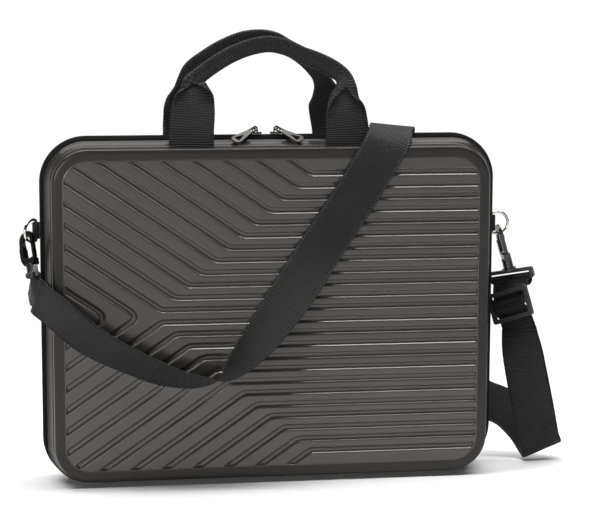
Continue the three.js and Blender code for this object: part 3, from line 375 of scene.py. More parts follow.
# Shells: a fine relief inside the field's outline, with rings round it
def spaced(length, fine, coarse, edge):
    """Places along a length: fine steps near both ends and coarse steps between."""
    near = np.arange(0, edge, fine)
    middle = np.linspace(edge, length - edge, int((length - 2 * edge) / coarse) + 1)
    return np.concatenate([near, middle, (length - near)[::-1]])


BEND_STEPS = 10
TINY = 1e-9


def rounded(before, corner, after, radius):
    """A curve that takes the place of a path's corner."""
    a = (before - corner) / np.linalg.norm(before - corner)
    b = (after - corner) / np.linalg.norm(after - corner)
    reach = radius / math.tan(math.acos(np.clip(a @ b, -1, 1)) / 2)
    start = corner + a * reach
    end = corner + b * reach
    shares = np.linspace(0, 1, BEND_STEPS + 1)[:, None]
    one = start + (corner - start) * shares
    two = corner + (end - corner) * shares
    return one + (two - one) * shares


def groove_paths():
    """The middle lines of the grooves: the bent rows above and below, and the noses at the left."""
    far = HALF_WIDTH + RIM_RADIUS
    paths = []
    for row in range(GROOVE_ROWS):
        lift = (row + 0.5) * GROOVE_PITCH
        bend = BEND_X + row * BEND_SHIFT
        for side in (-1, 1):
            corner = np.array([bend, MIDDLE_HEIGHT + side * lift])
            left = np.array([-far, corner[1] + side * DIAGONAL_SLOPE * (bend + far)])
            right = np.array([far, corner[1]])
            paths.append(np.vstack([left, rounded(left, corner, right, BEND_RADIUS), right]))
    spacing = GROOVE_PITCH + DIAGONAL_SLOPE * BEND_SHIFT
    first = GROOVE_PITCH / 2 + DIAGONAL_SLOPE * (BEND_X + HALF_WIDTH - FIELD_INSET)
    for nose in range(1, NOSE_COUNT + 1):
        tip_x = FIELD_INSET - HALF_WIDTH + (first - nose * spacing) / DIAGONAL_SLOPE
        tip = np.array([tip_x, MIDDLE_HEIGHT])
        rise = (tip_x + far) * DIAGONAL_SLOPE
        upper = np.array([-far, MIDDLE_HEIGHT + rise])
        lower = np.array([-far, MIDDLE_HEIGHT - rise])
        paths.append(np.vstack([upper, rounded(upper, tip, lower, NOSE_RADIUS), lower]))
    return paths


def ease(value, low, high):
    """A smooth rise from 0 at low to 1 at high, and its slope."""
    share = np.clip((value - low) / (high - low), 0, 1)
    return share * share * (3 - 2 * share), 6 * share * (1 - share) / (high - low)


def relief(x, z):
    """How deep each point lies under the field's top, and that depth's slope in x and z."""
    nearest = np.full(x.shape, np.inf)
    dx = np.zeros(x.shape)
    dz = np.zeros(x.shape)
    for path in groove_paths():
        for a, b in zip(path[:-1], path[1:]):
            run = b - a
            share = np.clip(((x - a[0]) * run[0] + (z - a[1]) * run[1]) / (run @ run), 0, 1)
            px = x - a[0] - run[0] * share
            pz = z - a[1] - run[1] * share
            square = px * px + pz * pz
            better = square < nearest
            nearest = np.where(better, square, nearest)
            dx = np.where(better, px, dx)
            dz = np.where(better, pz, dz)
    away = np.sqrt(nearest) + TINY
    fall, fall_slope = ease(away, GROOVE_FLOOR, GROOVE_TOP)
    inside, ex, ez = field_edge(x, z)
    end, end_slope = ease(inside, GROOVE_END, GROOVE_END + GROOVE_END_RUN)
    groove = GROOVE_DEPTH * (1 - fall) * end
    gx = GROOVE_DEPTH * (-fall_slope * dx / away * end + (1 - fall) * end_slope * ex)
    gz = GROOVE_DEPTH * (-fall_slope * dz / away * end + (1 - fall) * end_slope * ez)
    top, top_slope = ease(inside, 0, FIELD_EDGE_RUN)
    edge = FIELD_RISE * (1 - top)
    use = edge > groove
    edge_slope = -FIELD_RISE * top_slope
    return np.where(use, edge, groove), np.where(use, edge_slope * ex, gx), np.where(use, edge_slope * ez, gz)


def field_edge(x, z):
    """The distance to the field's outline from inside it, and its slope."""
    radius = RIM_RADIUS - FIELD_INSET
    qx = np.abs(x) - (HALF_WIDTH - FIELD_INSET - radius)
    qz = np.abs(z - MIDDLE_HEIGHT) - (MIDDLE_HEIGHT - FIELD_INSET - radius)
    corner = (qx > 0) & (qz > 0)
    length = np.sqrt(np.maximum(qx, 0) ** 2 + np.maximum(qz, 0) ** 2) + TINY
    flat = np.maximum(qx, qz)
    inside = radius - np.where(corner, length, flat)
    sx = np.sign(x)
    sz = np.sign(z - MIDDLE_HEIGHT)
    ex = np.where(corner, -sx * qx / length, np.where(qx > qz, -sx, 0))
    ez = np.where(corner, -sz * qz / length, np.where(qx > qz, 0, -sz))
    return np.maximum(inside, 0), ex, ez


OUTER_REACH = 0.9
INNER_REACH = 2.0
REACH_SHARE = 0.48
CORNER_POINTS = 5


def soften(profile, reach):
    """Rounds each corner of a profile, no further than the reach along each side."""
    profile = [np.array(place, dtype=float) for place in profile]
    out = [profile[0]]
    for before, corner, after in zip(profile[:-2], profile[1:-1], profile[2:]):
        ends = []
        for other in (before, after):
            way = other - corner
            size = np.linalg.norm(way)
            ends.append(corner + way / size * min(reach, size * REACH_SHARE))
        for t in np.linspace(0, 1, CORNER_POINTS):
            out.append(ends[0] * (1 - t) ** 2 + corner * 2 * t * (1 - t) + ends[1] * t * t)
    out.append(profile[-1])
    return out


# Each place of a profile: how far inside the outline, and how far out from the zip's plane
FACE = FRONT_DEPTH - RELIEF
STEP_CUT = STEP_INSET + STEP_FLOOR
ROLL_SHARES = [[0.4, 0.004], [0.25, 0.02], [0.13, 0.07], [0.05, 0.16], [0, 0.34]]
OUTER_PROFILE = [[FIELD_INSET, FACE]]
for inward, down in ROLL_SHARES:
    OUTER_PROFILE.append([PANEL_EDGE_INSET + BORDER_WIDTH * inward, FACE - (FACE - PANEL_EDGE_DEPTH) * down])
OUTER_PROFILE += [
    [PANEL_EDGE_INSET, PANEL_EDGE_DEPTH], [STEP_CUT, PANEL_EDGE_DEPTH - 0.5],
    [STEP_CUT, PANEL_EDGE_DEPTH - 2.3], [PANEL_EDGE_INSET - 0.4, PANEL_EDGE_DEPTH - 2.9],
    [PANEL_EDGE_INSET - 2, 13], [BEAD_HEIGHT + 0.2, 9.6], [0.18, 8.79], [0, 8.1], [0, 6.9],
    [BEAD_HEIGHT, RIM_GAP],
]
INNER_PROFILE = [
    [BEAD_HEIGHT + WALL, RIM_GAP], [BEAD_HEIGHT + WALL + 2, RIM_GAP + 6],
    [STEP_INSET + WALL, PANEL_EDGE_DEPTH - 2.6], [STEP_INSET + WALL, FACE - WALL - 4],
    [STEP_INSET + WALL + 2.6, FACE - WALL - 0.8], [FIELD_INSET + 0.6, FACE - WALL],
]
CORNER_ROWS = 30
GRID_FINE = 0.4
GRID_COARSE = 1.0
GRID_EDGE = 2.8


def shell_grid():
    """Heights, half widths and outline normals of the field's rows, and shares across each row."""
    half = HALF_WIDTH - FIELD_INSET
    low = FIELD_INSET
    radius = RIM_RADIUS - FIELD_INSET
    turns = np.linspace(0, math.pi / 2, CORNER_ROWS)
    corner = radius * (1 - np.cos(turns))
    corner_half = half - radius + radius * np.sin(turns)
    tall = CASE_HEIGHT - 2 * low
    middle = np.linspace(radius, tall - radius, int(tall - 2 * radius))[1:-1]
    z = low + np.concatenate([corner, middle, (tall - corner)[::-1]])
    reach = np.concatenate([corner_half, np.full(len(middle), half), corner_half[::-1]])
    down = np.concatenate([-np.cos(turns), np.zeros(len(middle)), np.cos(turns)[::-1]])
    out = np.concatenate([np.sin(turns), np.ones(len(middle)), np.sin(turns)[::-1]])
    u = spaced(2 * half, GRID_FINE, GRID_COARSE, GRID_EDGE) / half - 1
    return z, reach, down, out, u


def shell(name, side):
    """The field as one grid, then rings down to the zip and back up the inside."""
    z, reach, down, out, u = shell_grid()
    rows, columns = len(z), len(u)
    x = reach[:, None] * u[None, :]
    zz = np.repeat(z[:, None], columns, axis=1)
    deep, sx, sz = relief(x, zz)
    y = side * (FACE + FIELD_RISE - deep)
    grid = np.stack([x, y, zz], axis=-1).reshape(-1, 3)
    slope = np.stack([sx, np.ones(x.shape), sz], axis=-1)
    slope[..., 1] *= side
    slope /= np.linalg.norm(slope, axis=-1, keepdims=True)
    index = np.arange(rows * columns).reshape(rows, columns)
    quads = np.stack([index[:-1, :-1], index[:-1, 1:], index[1:, 1:], index[1:, :-1]], axis=-1)
    loop = np.concatenate([index[0, :], index[1:, -1], index[-1, -2::-1], index[-2:0:-1, 0]])
    n_bottom = np.tile([0.0, -1.0], (columns, 1))
    n_right = np.stack([out[1:], down[1:]], axis=-1)
    n_top = np.tile([0.0, 1.0], (columns - 1, 1))
    n_left = np.stack([-out[-2:0:-1], down[-2:0:-1]], axis=-1)
    n_right[-1] = [0.0, 1.0]
    edge_normals = np.concatenate([n_bottom, n_right, n_top, n_left])
    edge_points = grid[loop][:, [0, 2]]
    profile = soften(OUTER_PROFILE, OUTER_REACH)[1:] + soften(INNER_PROFILE, INNER_REACH)
    count = len(loop)
    points = [grid]
    faces = quads.reshape(-1, 4).tolist()
    field_faces = len(faces)
    before = loop
    base = len(grid)
    for inset, at in profile:
        flat = edge_points + edge_normals * (FIELD_INSET - inset)
        points.append(np.stack([flat[:, 0], np.full(count, side * at), flat[:, 1]], axis=-1))
        now = np.arange(base, base + count)
        faces += np.stack([before, now, np.roll(now, -1), np.roll(before, -1)], axis=-1).tolist()
        before = now
        base += count
    faces.append(before.tolist())
    points = np.concatenate(points)
    normals = np.full((len(points), 3), np.nan)
    normals[: rows * columns] = slope.reshape(-1, 3)
    if side > 0:
        faces = [face[::-1] for face in faces]
    piece = make(name, points, faces, shell_plastic, normals)
    # Faces outside the field take the darker copy of the plastic, which is painted shade
    piece.data.materials.append(shaded_edge_plastic)
    kinds = [0] * field_faces + [1] * (len(faces) - field_faces)
    piece.data.polygons.foreach_set("material_index", kinds)
    return piece


FOOT_LENGTH = 280.0
FOOT_CREST = 6
FOOT_SECTION = [
    [9.2, 1.6], [9.6, 0.4], [10.6, 0.0], [18.6, 0.0], [19.8, 0.5], [20.8, 1.8], [21.5, 3.0], [21.5, 6.0],
    [15.5, 7.2], [9.0, 4.0],
]
FOOT_ENDS = [(-1, 0.8), (-0.994, 0.95), (-0.985, 1), (0.985, 1), (0.994, 0.95), (1, 0.8)]


def foot():
    """One section along the underside, drawn in towards each end."""
    rings = []
    for x, share in FOOT_ENDS:
        ring = []
        for y, z in FOOT_SECTION:
            y = FOOT_MIDDLE + (y - FOOT_MIDDLE) * share
            ring.append([x * FOOT_LENGTH / 2, y, FOOT_CREST + (z - FOOT_CREST) * share])
        rings.append(np.array(ring))
    return closed_loft(rings)


for side_name, side in SIDES.items():
    piece = shell(f"{side_name}_moulding", side)
    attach(piece, SHELL_BODY[side_name])
    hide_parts(f"{side_name}_shell")
foot_piece = make("foot_rail", *foot(), shell_plastic)
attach(foot_piece, "back")


# Outline of the case, as an open run for the zip and a closed one for the linings
ARC_STEPS = 24
LINING_ARC_STEPS = 10
LEAST_RADIUS = 3


def outline(inset, bottom=None, steps=ARC_STEPS):
    low = inset if bottom is None else bottom
    half = HALF_WIDTH - inset
    high = CASE_HEIGHT - inset
    radius = max(RIM_RADIUS - inset, LEAST_RADIUS)
    right, left, below, above = half - radius, radius - half, low + radius, high - radius
    points = []
    for x, z, start in [(right, below, -90), (right, above, 0), (left, above, 90), (left, below, 180)]:
        for step in range(steps + 1):
            angle = math.radians(start + 90 * step / steps)
            points.append((x + radius * math.cos(angle), z + radius * math.sin(angle)))
    return np.array(points)


ZIP_END_SLOPE = 0.1


def zip_line(outset):
    return outline(-outset, CREST_BOTTOM + (CREST_OUTSET - outset) * ZIP_END_SLOPE)


def along_of(points):
    """How far along the run each point lies."""
    steps = np.linalg.norm(np.diff(points, axis=0), axis=1)
    return np.concatenate([[0], np.cumsum(steps)])


# Each corner of the tape's section: how far outside the outline, and how far from the zip's plane
TAPE_SECTION = [(-3.4, 5.7), (-1.4, 5.7), (1.0, 4.9), (3.0, 3.1), (3.4, 2.7), (3.0, 2.1), (0.9, 2.1)]
TAPE_CREST = 3


def zip_tape(side):
    outsets, depths = np.array(TAPE_SECTION).T
    lines = [zip_line(outset) for outset in outsets]
    rings = []
    for places in zip(*lines):
        rings.append(np.array([[x, side * depth, z] for (x, z), depth in zip(places, depths)]))
    points, faces = closed_loft(rings)
    run = np.repeat(along_of(lines[TAPE_CREST]), len(outsets))
    return points, faces, np.stack([run, np.tile(outsets, len(rings))], axis=-1)


TOOTH_PITCH = 1.5
TOOTH_LENGTH = 2.2
TOOTH_SIDES = 8
TOOTH_GAP = 0.15
TOOTH_END = 0.6
TOOTH_HALF_DEPTH = 0.72
# Each level of a tooth: share of its length, half width, and share of its half depth
TOOTH_LEVELS = [(0.0, 0.5, 0.85), (0.25, 0.62, 1.0), (0.8, 0.62, 1.0), (1.0, 0.3, 0.75)]


def zip_teeth(side, shift):
    """Small rounded blocks in one row along the zip."""
    line = zip_line(CREST_OUTSET)
    inner = zip_line(CREST_OUTSET - TOOTH_LENGTH)
    run = along_of(line)
    count = int(run[-1] / TOOTH_PITCH)
    places = (np.arange(count) + 0.5 + shift) * TOOTH_PITCH
    places = places[places < run[-1] - TOOTH_END]
    heads, feet = [np.stack([np.interp(places, run, row) for row in way.T], axis=-1) for way in (line, inner)]
    base = []
    for up, half, deep in TOOTH_LEVELS:
        for turn in range(TOOTH_SIDES):
            angle = 2 * math.pi * (turn + 0.5) / TOOTH_SIDES
            base.append((up, half * math.cos(angle), deep * math.sin(angle)))
    base = np.array(base)
    points, faces = [], []
    for head, root in zip(heads, feet):
        out = head - root
        length = np.linalg.norm(out)
        out = out / length
        along = np.array([-out[1], out[0]])
        flat = root + base[:, :1] * length * out + base[:, 1:2] * along
        depth = side * (TOOTH_GAP + TOOTH_HALF_DEPTH * (1 + base[:, 2]))
        first = len(points) * len(base)
        rings = np.stack([flat[:, 0], depth, flat[:, 1]], axis=-1).reshape(-1, TOOTH_SIDES, 3)
        block, block_faces = closed_loft(rings)
        points.append(block)
        faces += [tuple(first + at for at in face) for face in block_faces]
    return np.concatenate(points), faces


# Linings: thin trays that follow the inside of each shell
def lining(side):
    outer = soften([[inset + LINING_GAP, at - LINING_GAP] for inset, at in INNER_PROFILE], INNER_REACH)
    outer[0] = np.array([INNER_PROFILE[0][0] + LINING_GAP, RIM_GAP + LINING_START])
    face = FACE - WALL - LINING_GAP
    inner = [np.array([p[0] + LINING_THICKNESS, min(p[1], face - LINING_THICKNESS)]) for p in outer]
    rings = []
    for inset, at in outer[::-1] + inner:
        ring = outline(inset, steps=LINING_ARC_STEPS)
        rings.append(np.stack([ring[:, 0], np.full(len(ring), side * at), ring[:, 1]], axis=-1))
    return closed_loft(rings)


for side_name, side in SIDES.items():
    points, faces, run = zip_tape(side)
    made = {
        "zip_tape": make(f"{side_name}_tape_cloth", points, faces, tape_black, run=run),
        "zip_coil": make(f"{side_name}_teeth", *zip_teeth(side, 0.0 if side > 0 else 0.5), teeth_black),
        "lining": make(f"{side_name}_lining_cloth", *lining(side), lining_cloth),
    }
    for node_name, piece in made.items():
        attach(piece, SHELL_BODY[side_name])
        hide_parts(f"{side_name}_{node_name}")


# Webbing: a section of given width, fold and thickness along a path
LEAST_GAP = 1e-4


def spline(values, steps, uneven=True):
    """A curve through the values, with the same number of steps in each span."""
    values = np.array(values, dtype=float)
    first = 2 * values[0] - values[1]
    last = 2 * values[-1] - values[-2]
    p = np.vstack([first, values, last])
    out = []
    for span in range(len(values) - 1):
        a, b, c, d = p[span : span + 4]
        gaps = [1.0, 1.0, 1.0]
        if uneven:
            gaps = [max(np.linalg.norm(way), LEAST_GAP) ** 0.5 for way in (b - a, c - b, d - c)]
        t1 = (b - a) / gaps[0] - (c - a) / (gaps[0] + gaps[1]) + (c - b) / gaps[1]
        t2 = (c - b) / gaps[1] - (d - b) / (gaps[1] + gaps[2]) + (d - c) / gaps[2]
        t1, t2 = t1 * gaps[1], t2 * gaps[1]
        for step in range(steps):
            s = step / steps
            out.append(b + t1 * s + (3 * (c - b) - 2 * t1 - t2) * s**2 + (2 * (b - c) + t1 + t2) * s**3)
    out.append(values[-1])
    return np.array(out)


FOLD_RADIUS = 1.1
FOLD_STEPS = 6
SECTION_STEPS = 10
LEAST_FLAP = 0.2
FULL_FOLD = 1.6
EDGE_ROUND = 0.6
EDGE_THINNER = 0.25


def section(half, flap, turn, thickness):
    """The webbing seen from its end: a flat middle, with a flap folded behind at each edge."""
    middle = [np.array([s * half, 0.0]) for s in np.linspace(0, 1, SECTION_STEPS)]
    way = [0.0] * SECTION_STEPS
    spot = middle[-1].copy()
    for step in range(1, FOLD_STEPS + 1):
        angle = turn * (step - 0.5) / FOLD_STEPS
        spot = spot + np.array([math.cos(angle), -math.sin(angle)]) * FOLD_RADIUS * turn / FOLD_STEPS
        middle.append(spot.copy())
        way.append(turn * step / FOLD_STEPS)
    rest = max(flap - FOLD_RADIUS * turn, LEAST_FLAP)
    rest = min(rest, half + FOLD_RADIUS - 2 * LEAST_FLAP) if turn > FULL_FOLD else rest
    for share in (0.33, 0.67, 1.0):
        middle.append(spot + np.array([math.cos(turn), -math.sin(turn)]) * rest * share)
        way.append(turn)
    middle = np.array(middle)
    way = np.array(way)
    normal = np.stack([np.sin(way), np.cos(way)], axis=-1)
    t = thickness / 2
    s = np.concatenate([[0], np.cumsum(np.linalg.norm(np.diff(middle, axis=0), axis=1))])
    tip = middle[-1] + np.array([math.cos(turn), -math.sin(turn)]) * t * EDGE_ROUND
    upper = middle + normal * t
    lower = middle - normal * t
    upper[-1] -= normal[-1] * t * EDGE_THINNER
    lower[-1] += normal[-1] * t * EDGE_THINNER
    right = np.vstack([upper, tip, lower[::-1]])
    right_s = np.concatenate([s, [s[-1]], s[::-1]])
    left = right[::-1] * np.array([-1, 1])
    ring = np.vstack([right[:-1], left[:-1]])
    values = np.concatenate([right_s[:-1], -right_s[::-1][:-1]])
    return ring, values


def headings(places):
    """The way from the place before each one to the place after it."""
    return np.vstack([places[1:], places[-1:]]) - np.vstack([places[:1], places[:-1]])


def ribbon(places, across, shapes):
    """Rings along the places; shapes gives each place's half width, flap, turn and thickness."""
    places, across = np.array(places), np.array(across)
    along = headings(places)
    along /= np.linalg.norm(along, axis=1, keepdims=True)
    across = across - along * np.sum(across * along, axis=1, keepdims=True)
    across /= np.linalg.norm(across, axis=1, keepdims=True)
    up = np.cross(along, across)
    run = along_of(places)
    rings, runs = [], []
    for at in range(len(places)):
        ring, s = section(*shapes[at])
        rings.append(places[at] + ring[:, :1] * across[at] + ring[:, 1:] * up[at])
        runs.append(np.stack([np.full(len(s), run[at]), s], axis=-1))
    return rings, runs


def make_ribbon(name, rings, runs, material=web_black):
    points, faces = closed_loft(rings)
    return make(name, points, faces, material, run=np.concatenate(runs))


def plain(width, thickness, edge):
    """A ribbon's shape where it lies flat, drawn in by the edge that the section adds."""
    return (width / 2 - edge, LEAST_FLAP, 0.0, thickness)


# Handles, in shares: along from leg to leg, out from the grip to the roots, up to the peak, and width
FRONT_SHARES = [
    [-1, 1, 0, 0.97], [-0.994, 0.94, 0.171, 0.96], [-0.972, 0.84, 0.356, 0.87],
    [-0.956, 0.7, 0.506, 0.69], [-0.96, 0.6, 0.57, 0.42], [-0.97, 0.46, 0.625, 0.12],
    [-0.9, 0.33, 0.68, 0.02], [-0.763, 0.19, 0.761, 0], [-0.499, 0.09, 0.888, 0],
    [-0.236, 0.02, 0.969, 0], [0.013, 0, 1, 0], [0.227, 0, 0.967, 0],
    [0.423, 0.05, 0.896, 0], [0.613, 0.12, 0.836, 0.04], [0.813, 0.26, 0.757, 0.04],
    [0.945, 0.39, 0.673, 0.02], [0.975, 0.6, 0.576, 0.17], [0.955, 0.73, 0.449, 0.52],
    [0.965, 0.87, 0.333, 0.75], [0.985, 0.96, 0.12, 0.9], [0.985, 1, 0, 0.97],
]
BACK_SHARES = [
    [-1, 1, 0, 1], [-1, 0.94, 0.174, 1], [-1, 0.8, 0.327, 0.92],
    [-0.996, 0.67, 0.437, 0.68], [-0.99, 0.53, 0.514, 0.37], [-0.98, 0.39, 0.598, 0.15],
    [-0.915, 0.26, 0.695, 0.15], [-0.751, 0.12, 0.8, 0.1], [-0.541, 0.05, 0.895, 0.1],
    [-0.264, 0.01, 0.98, 0.08], [-0.022, 0, 1, 0.06], [0.14, 0, 0.978, 0.05],
    [0.302, 0.02, 0.92, 0], [0.482, 0.09, 0.842, 0], [0.621, 0.19, 0.756, 0],
    [0.737, 0.33, 0.656, 0], [0.8, 0.46, 0.569, 0.12], [0.838, 0.6, 0.488, 0.38],
    [0.873, 0.73, 0.39, 0.77], [0.913, 0.87, 0.277, 0.88], [0.955, 0.97, 0.12, 0.92],
    [0.96, 1, 0, 0.95],
]
GRIP_DEPTH = 4.2
ROOT_DEPTH = 18.9
ROOT_HEIGHT = 294.2
LEG_WIDTH = 38.0
GRIP_WIDTH = 12.0
LEG_THICKNESS = 1.8
HANDLE_STEPS = 12
HANDLE_FIT = {
    "front": (-1.9, 136.6, 86.5, FRONT_SHARES),
    "back": (-4.75, 133.9, 91, BACK_SHARES),
}
FOLD_SPEED = 1.5
FOLD_ROOM = 0.8


def handle(side, middle, spacing, rise, shares):
    """A loop of webbing that folds from its full width at the roots to the grip."""
    places, sizes = [], []
    for along, deep, high, wide in shares:
        y = side * (GRIP_DEPTH + (ROOT_DEPTH - GRIP_DEPTH) * deep)
        places.append([middle + spacing / 2 * along, y, ROOT_HEIGHT + rise * high])
        sizes.append([wide, 0, 0])
    places = spline(places, HANDLE_STEPS)
    wide = np.clip(spline(sizes, HANDLE_STEPS, False)[:, 0], 0, 1)
    ahead = headings(places)
    across = np.stack([ahead[:, 2], np.zeros(len(ahead)), -ahead[:, 0]], axis=-1)
    if side > 0:
        across = -across
    shapes = []
    for share in wide:
        half = (GRIP_WIDTH + (LEG_WIDTH - GRIP_WIDTH) * share) / 2
        flap = max(LEG_WIDTH / 2 - half, 0.0)
        turn = math.pi * min(1.0, FOLD_SPEED * (1 - share))
        shapes.append((half - FOLD_RADIUS * min(turn, 1.0) * FOLD_ROOM, flap, turn, LEG_THICKNESS))
    return ribbon(places, across, shapes)


for side_name, side in SIDES.items():
    grip = make_ribbon(f"{side_name}_grip", *handle(side, *HANDLE_FIT[side_name]))
    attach(grip, f"handle_{side_name}")
    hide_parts(f"{side_name}_handle")


# Ring, hook and loop places on each side
def frame_of(origin, up, side):
    """A place whose Z points up and whose X leans to the side."""
    z = Vector(up).normalized()
    x = Vector(side)
    x = (x - z * x.dot(z)).normalized()
    y = z.cross(x)
    place = Matrix((x, y, z)).transposed().to_4x4()
    place.translation = Vector(origin)
    return place


RING_RADIUS = 9.8
RING_OFFSET = 5.4
RING_WIRE = 1.3
RING_STEPS = 60
RING_SIDES = 14
BAR_STEPS = 8
RING_HEIGHT = CASE_HEIGHT * 0.737
TAB_DEPTH = 12.5
TAB_REACH = 6.4
THROAT_HEIGHT = 33.0
HARDWARE = {
    "left": {"turn": 48, "grip": -47, "up": (-0.11, 0.57, 0.814), "across": (0.1, -0.85, 0.42)},
    "right": {"turn": 0, "grip": -75, "up": (-0.272, 0, 0.962), "across": (0.72, -0.63, 0.28)},
}
for hand_name, hand in HANDS.items():
    facts = HARDWARE[hand_name]
    turn = math.radians(facts["turn"])
    ring_at = (hand * (HALF_WIDTH + TAB_REACH), TAB_DEPTH, RING_HEIGHT)
    facts["ring"] = frame_of(ring_at, (0, 0, 1), (hand * math.cos(turn), -math.sin(turn), 0))
    grip = math.radians(facts["grip"])
    reach = RING_OFFSET + RING_RADIUS * math.cos(grip)
    caught = facts["ring"] @ Vector((reach, 0, RING_RADIUS * math.sin(grip)))
    origin = caught - Vector(facts["up"]).normalized() * THROAT_HEIGHT
    facts["loop"] = frame_of(origin, facts["up"], facts["across"])


ARC_SHARE = 0.93
BAR_SHARE = 0.8


def ring_mesh(matrix):
    """A wire bent to a D: an arc, a straight bar and two soft corners."""
    end = (math.pi - math.acos(RING_OFFSET / RING_RADIUS)) * ARC_SHARE
    path = []
    for angle in np.linspace(-end, end, RING_STEPS):
        path.append((RING_OFFSET + RING_RADIUS * math.cos(angle), RING_RADIUS * math.sin(angle)))
    straight = math.sqrt(RING_RADIUS**2 - RING_OFFSET**2) * BAR_SHARE
    bar = [(0, z) for z in np.linspace(straight, -straight, BAR_STEPS)]
    start, stop = np.array(path[-1]), np.array(bar[0])
    corner = [tuple(start + (stop - start) * s) for s in (0.25, 0.5, 0.75)]
    path = np.array(path + corner + bar + [(x, -z) for x, z in corner[::-1]])
    count, sides = len(path), RING_SIDES
    along = np.roll(path, -1, axis=0) - np.roll(path, 1, axis=0)
    along /= np.linalg.norm(along, axis=1, keepdims=True)
    points, faces = [], []
    for at in range(count):
        for side in range(sides):
            around = 2 * math.pi * side / sides
            out = RING_WIRE * math.cos(around)
            x, z = path[at]
            points.append((x + along[at][1] * out, RING_WIRE * math.sin(around), z - along[at][0] * out))
            a = at * sides + side
            b = at * sides + (side + 1) % sides
            shift = ((at + 1) % count - at) * sides
            faces.append((a, a + shift, b + shift, b))
    points = np.array(points) @ np.array(matrix.to_3x3()).T + np.array(matrix.translation)
    return points, outward(points, faces)


for hand_name in HANDS:
    wire = make(f"ring_{hand_name}_wire", *ring_mesh(HARDWARE[hand_name]["ring"]), nickel)
    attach(wire, f"ring_{hand_name}")
    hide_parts(f"ring_{hand_name}")

TAB_HEIGHT = 15.0
TAB_HOLLOW = 2.1
TAB_THICKNESS = 1.2
TAB_CLOTH = 1.1
TAB_EDGE = 0.9
TAB_WAYS = [-9.2, -6.2, -2.5, 0.2]
TAB_TURN = 75
TAB_TURN_STEPS = 9
TAB_SHIFT = 0.5


def tab_mesh(hand):
    """Webbing that comes out of the seam, turns round the ring's bar and goes back."""
    radius = TAB_HOLLOW + TAB_THICKNESS / 2
    axis_x = HALF_WIDTH + TAB_REACH
    path = [(axis_x + way, -radius) for way in TAB_WAYS]
    for angle in np.radians(np.linspace(-TAB_TURN, TAB_TURN, TAB_TURN_STEPS)):
        path.append((axis_x + TAB_SHIFT + radius * math.cos(angle), radius * math.sin(angle)))
    path += [(axis_x + way, radius) for way in reversed(TAB_WAYS)]
    places = [(hand * x, TAB_DEPTH + y, RING_HEIGHT) for x, y in path]
    across = [(0, 0, 1)] * len(places)
    shapes = [plain(TAB_HEIGHT, TAB_CLOTH, TAB_EDGE)] * len(places)
    return ribbon(places, across, shapes)


for hand_name, hand in HANDS.items():
    tab = make_ribbon(f"ring_{hand_name}_tab_web", *tab_mesh(hand))
    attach(tab, "back")
    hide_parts(f"ring_tab_{hand_name}")

# Shoulder strap: one run of webbing from the left loop round the case to the right loop
STRAP_WIDTH = 38.0
STRAP_THICKNESS = 1.5
STRAP_EDGE = 0.6
STRAP_STEPS = 10
BIND_STEPS = 4
WRAP_STEPS = 17
WRAP_SHARES = (-0.05, 1.05)
# The bodies at each length's start and end; a length with one body rides on it
STRAP_BODIES = {
    "left": ["back", "lid"],
    "front": ["lid"],
    "top": ["lid", "back"],
    "rear": ["back"],
    "hanging": ["back", "adjuster"],
    "threaded": ["adjuster", "back"],
}
# Each station: a point, in shares of half the width, the front's depth and the height, and the way across
LEFT_ROWS = [
    [-1.045, -0.92, 0.57, 0.48, -0.76, 0.44], [-1.02, -1.08, 0.554, 0.52, -0.73, 0.46],
    [-0.977, -1.27, 0.533, 0.54, -0.68, 0.5], [-0.926, -1.43, 0.506, 0.56, -0.64, 0.52],
    [-0.841, -1.45, 0.457, 0.56, -0.6, 0.57],
]
FRONT_ROWS = [
    [-0.742, -1.47, 0.415, 0.5, -0.66, 0.56], [-0.624, -1.49, 0.376, 0.4, -0.72, 0.56],
    [-0.529, -1.51, 0.348, 0.3, -0.76, 0.57], [-0.427, -1.55, 0.327, 0.12, -0.84, 0.53],
    [-0.324, -1.61, 0.32, 0.02, -0.92, 0.4], [-0.251, -1.65, 0.327, 0.1, -0.98, 0.2],
    [-0.199, -1.65, 0.351, 0.28, -0.96, 0], [-0.145, -1.6, 0.386, 0.42, -0.88, -0.18],
    [-0.081, -1.52, 0.432, 0.55, -0.76, -0.34], [-0.003, -1.43, 0.498, 0.68, -0.58, -0.42],
    [0.092, -1.28, 0.582, 0.78, -0.36, -0.5], [0.22, -1.08, 0.706, 0.84, -0.06, -0.54],
    [0.348, -1.06, 0.829, 0.86, 0, -0.5],
]
TOP_ROWS = [
    [0.46, -1.08, 0.95, 0.92, 0, -0.38], [0.499, -0.98, 0.993, 0.95, 0, -0.3],
    [0.524, -0.68, 1.019, 0.97, -0.12, -0.2], [0.54, -0.29, 1.031, 0.97, -0.18, -0.12],
    [0.553, 0, 1.034, 0.97, -0.2, -0.1], [0.567, 0.29, 1.031, 0.97, -0.18, -0.08],
    [0.583, 0.71, 1.019, 0.98, -0.1, -0.04], [0.593, 1.01, 0.992, 0.99, 0, 0.05],
    [0.598, 1.13, 0.946, 0.99, 0, 0.1],
]
REAR_ROWS = [
    [0.619, 1.13, 0.803, 0.99, 0, 0.12], [0.66, 1.15, 0.619, 0.96, 0, 0.25],
    [0.737, 1.16, 0.435, 0.9, 0.1, 0.42], [0.87, 1.26, 0.268, 0.66, 0.3, 0.7],
    [1.038, 1.32, 0.184, 0.24, 0.5, 0.83], [1.156, 1.26, 0.147, 0.38, 0.45, 0.8],
    [1.243, 1.06, 0.094, 0.75, 0.25, 0.6], [1.289, 0.84, 0.047, 0.9, 0.08, 0.42],
    [1.302, 0.65, 0.032, 0.93, 0, 0.37], [1.3, 0.48, 0.037, 0.93, 0, 0.37],
    [1.281, 0.39, 0.067, 0.93, 0, 0.36], [1.253, 0.34, 0.144, 0.93, -0.1, 0.3],
]
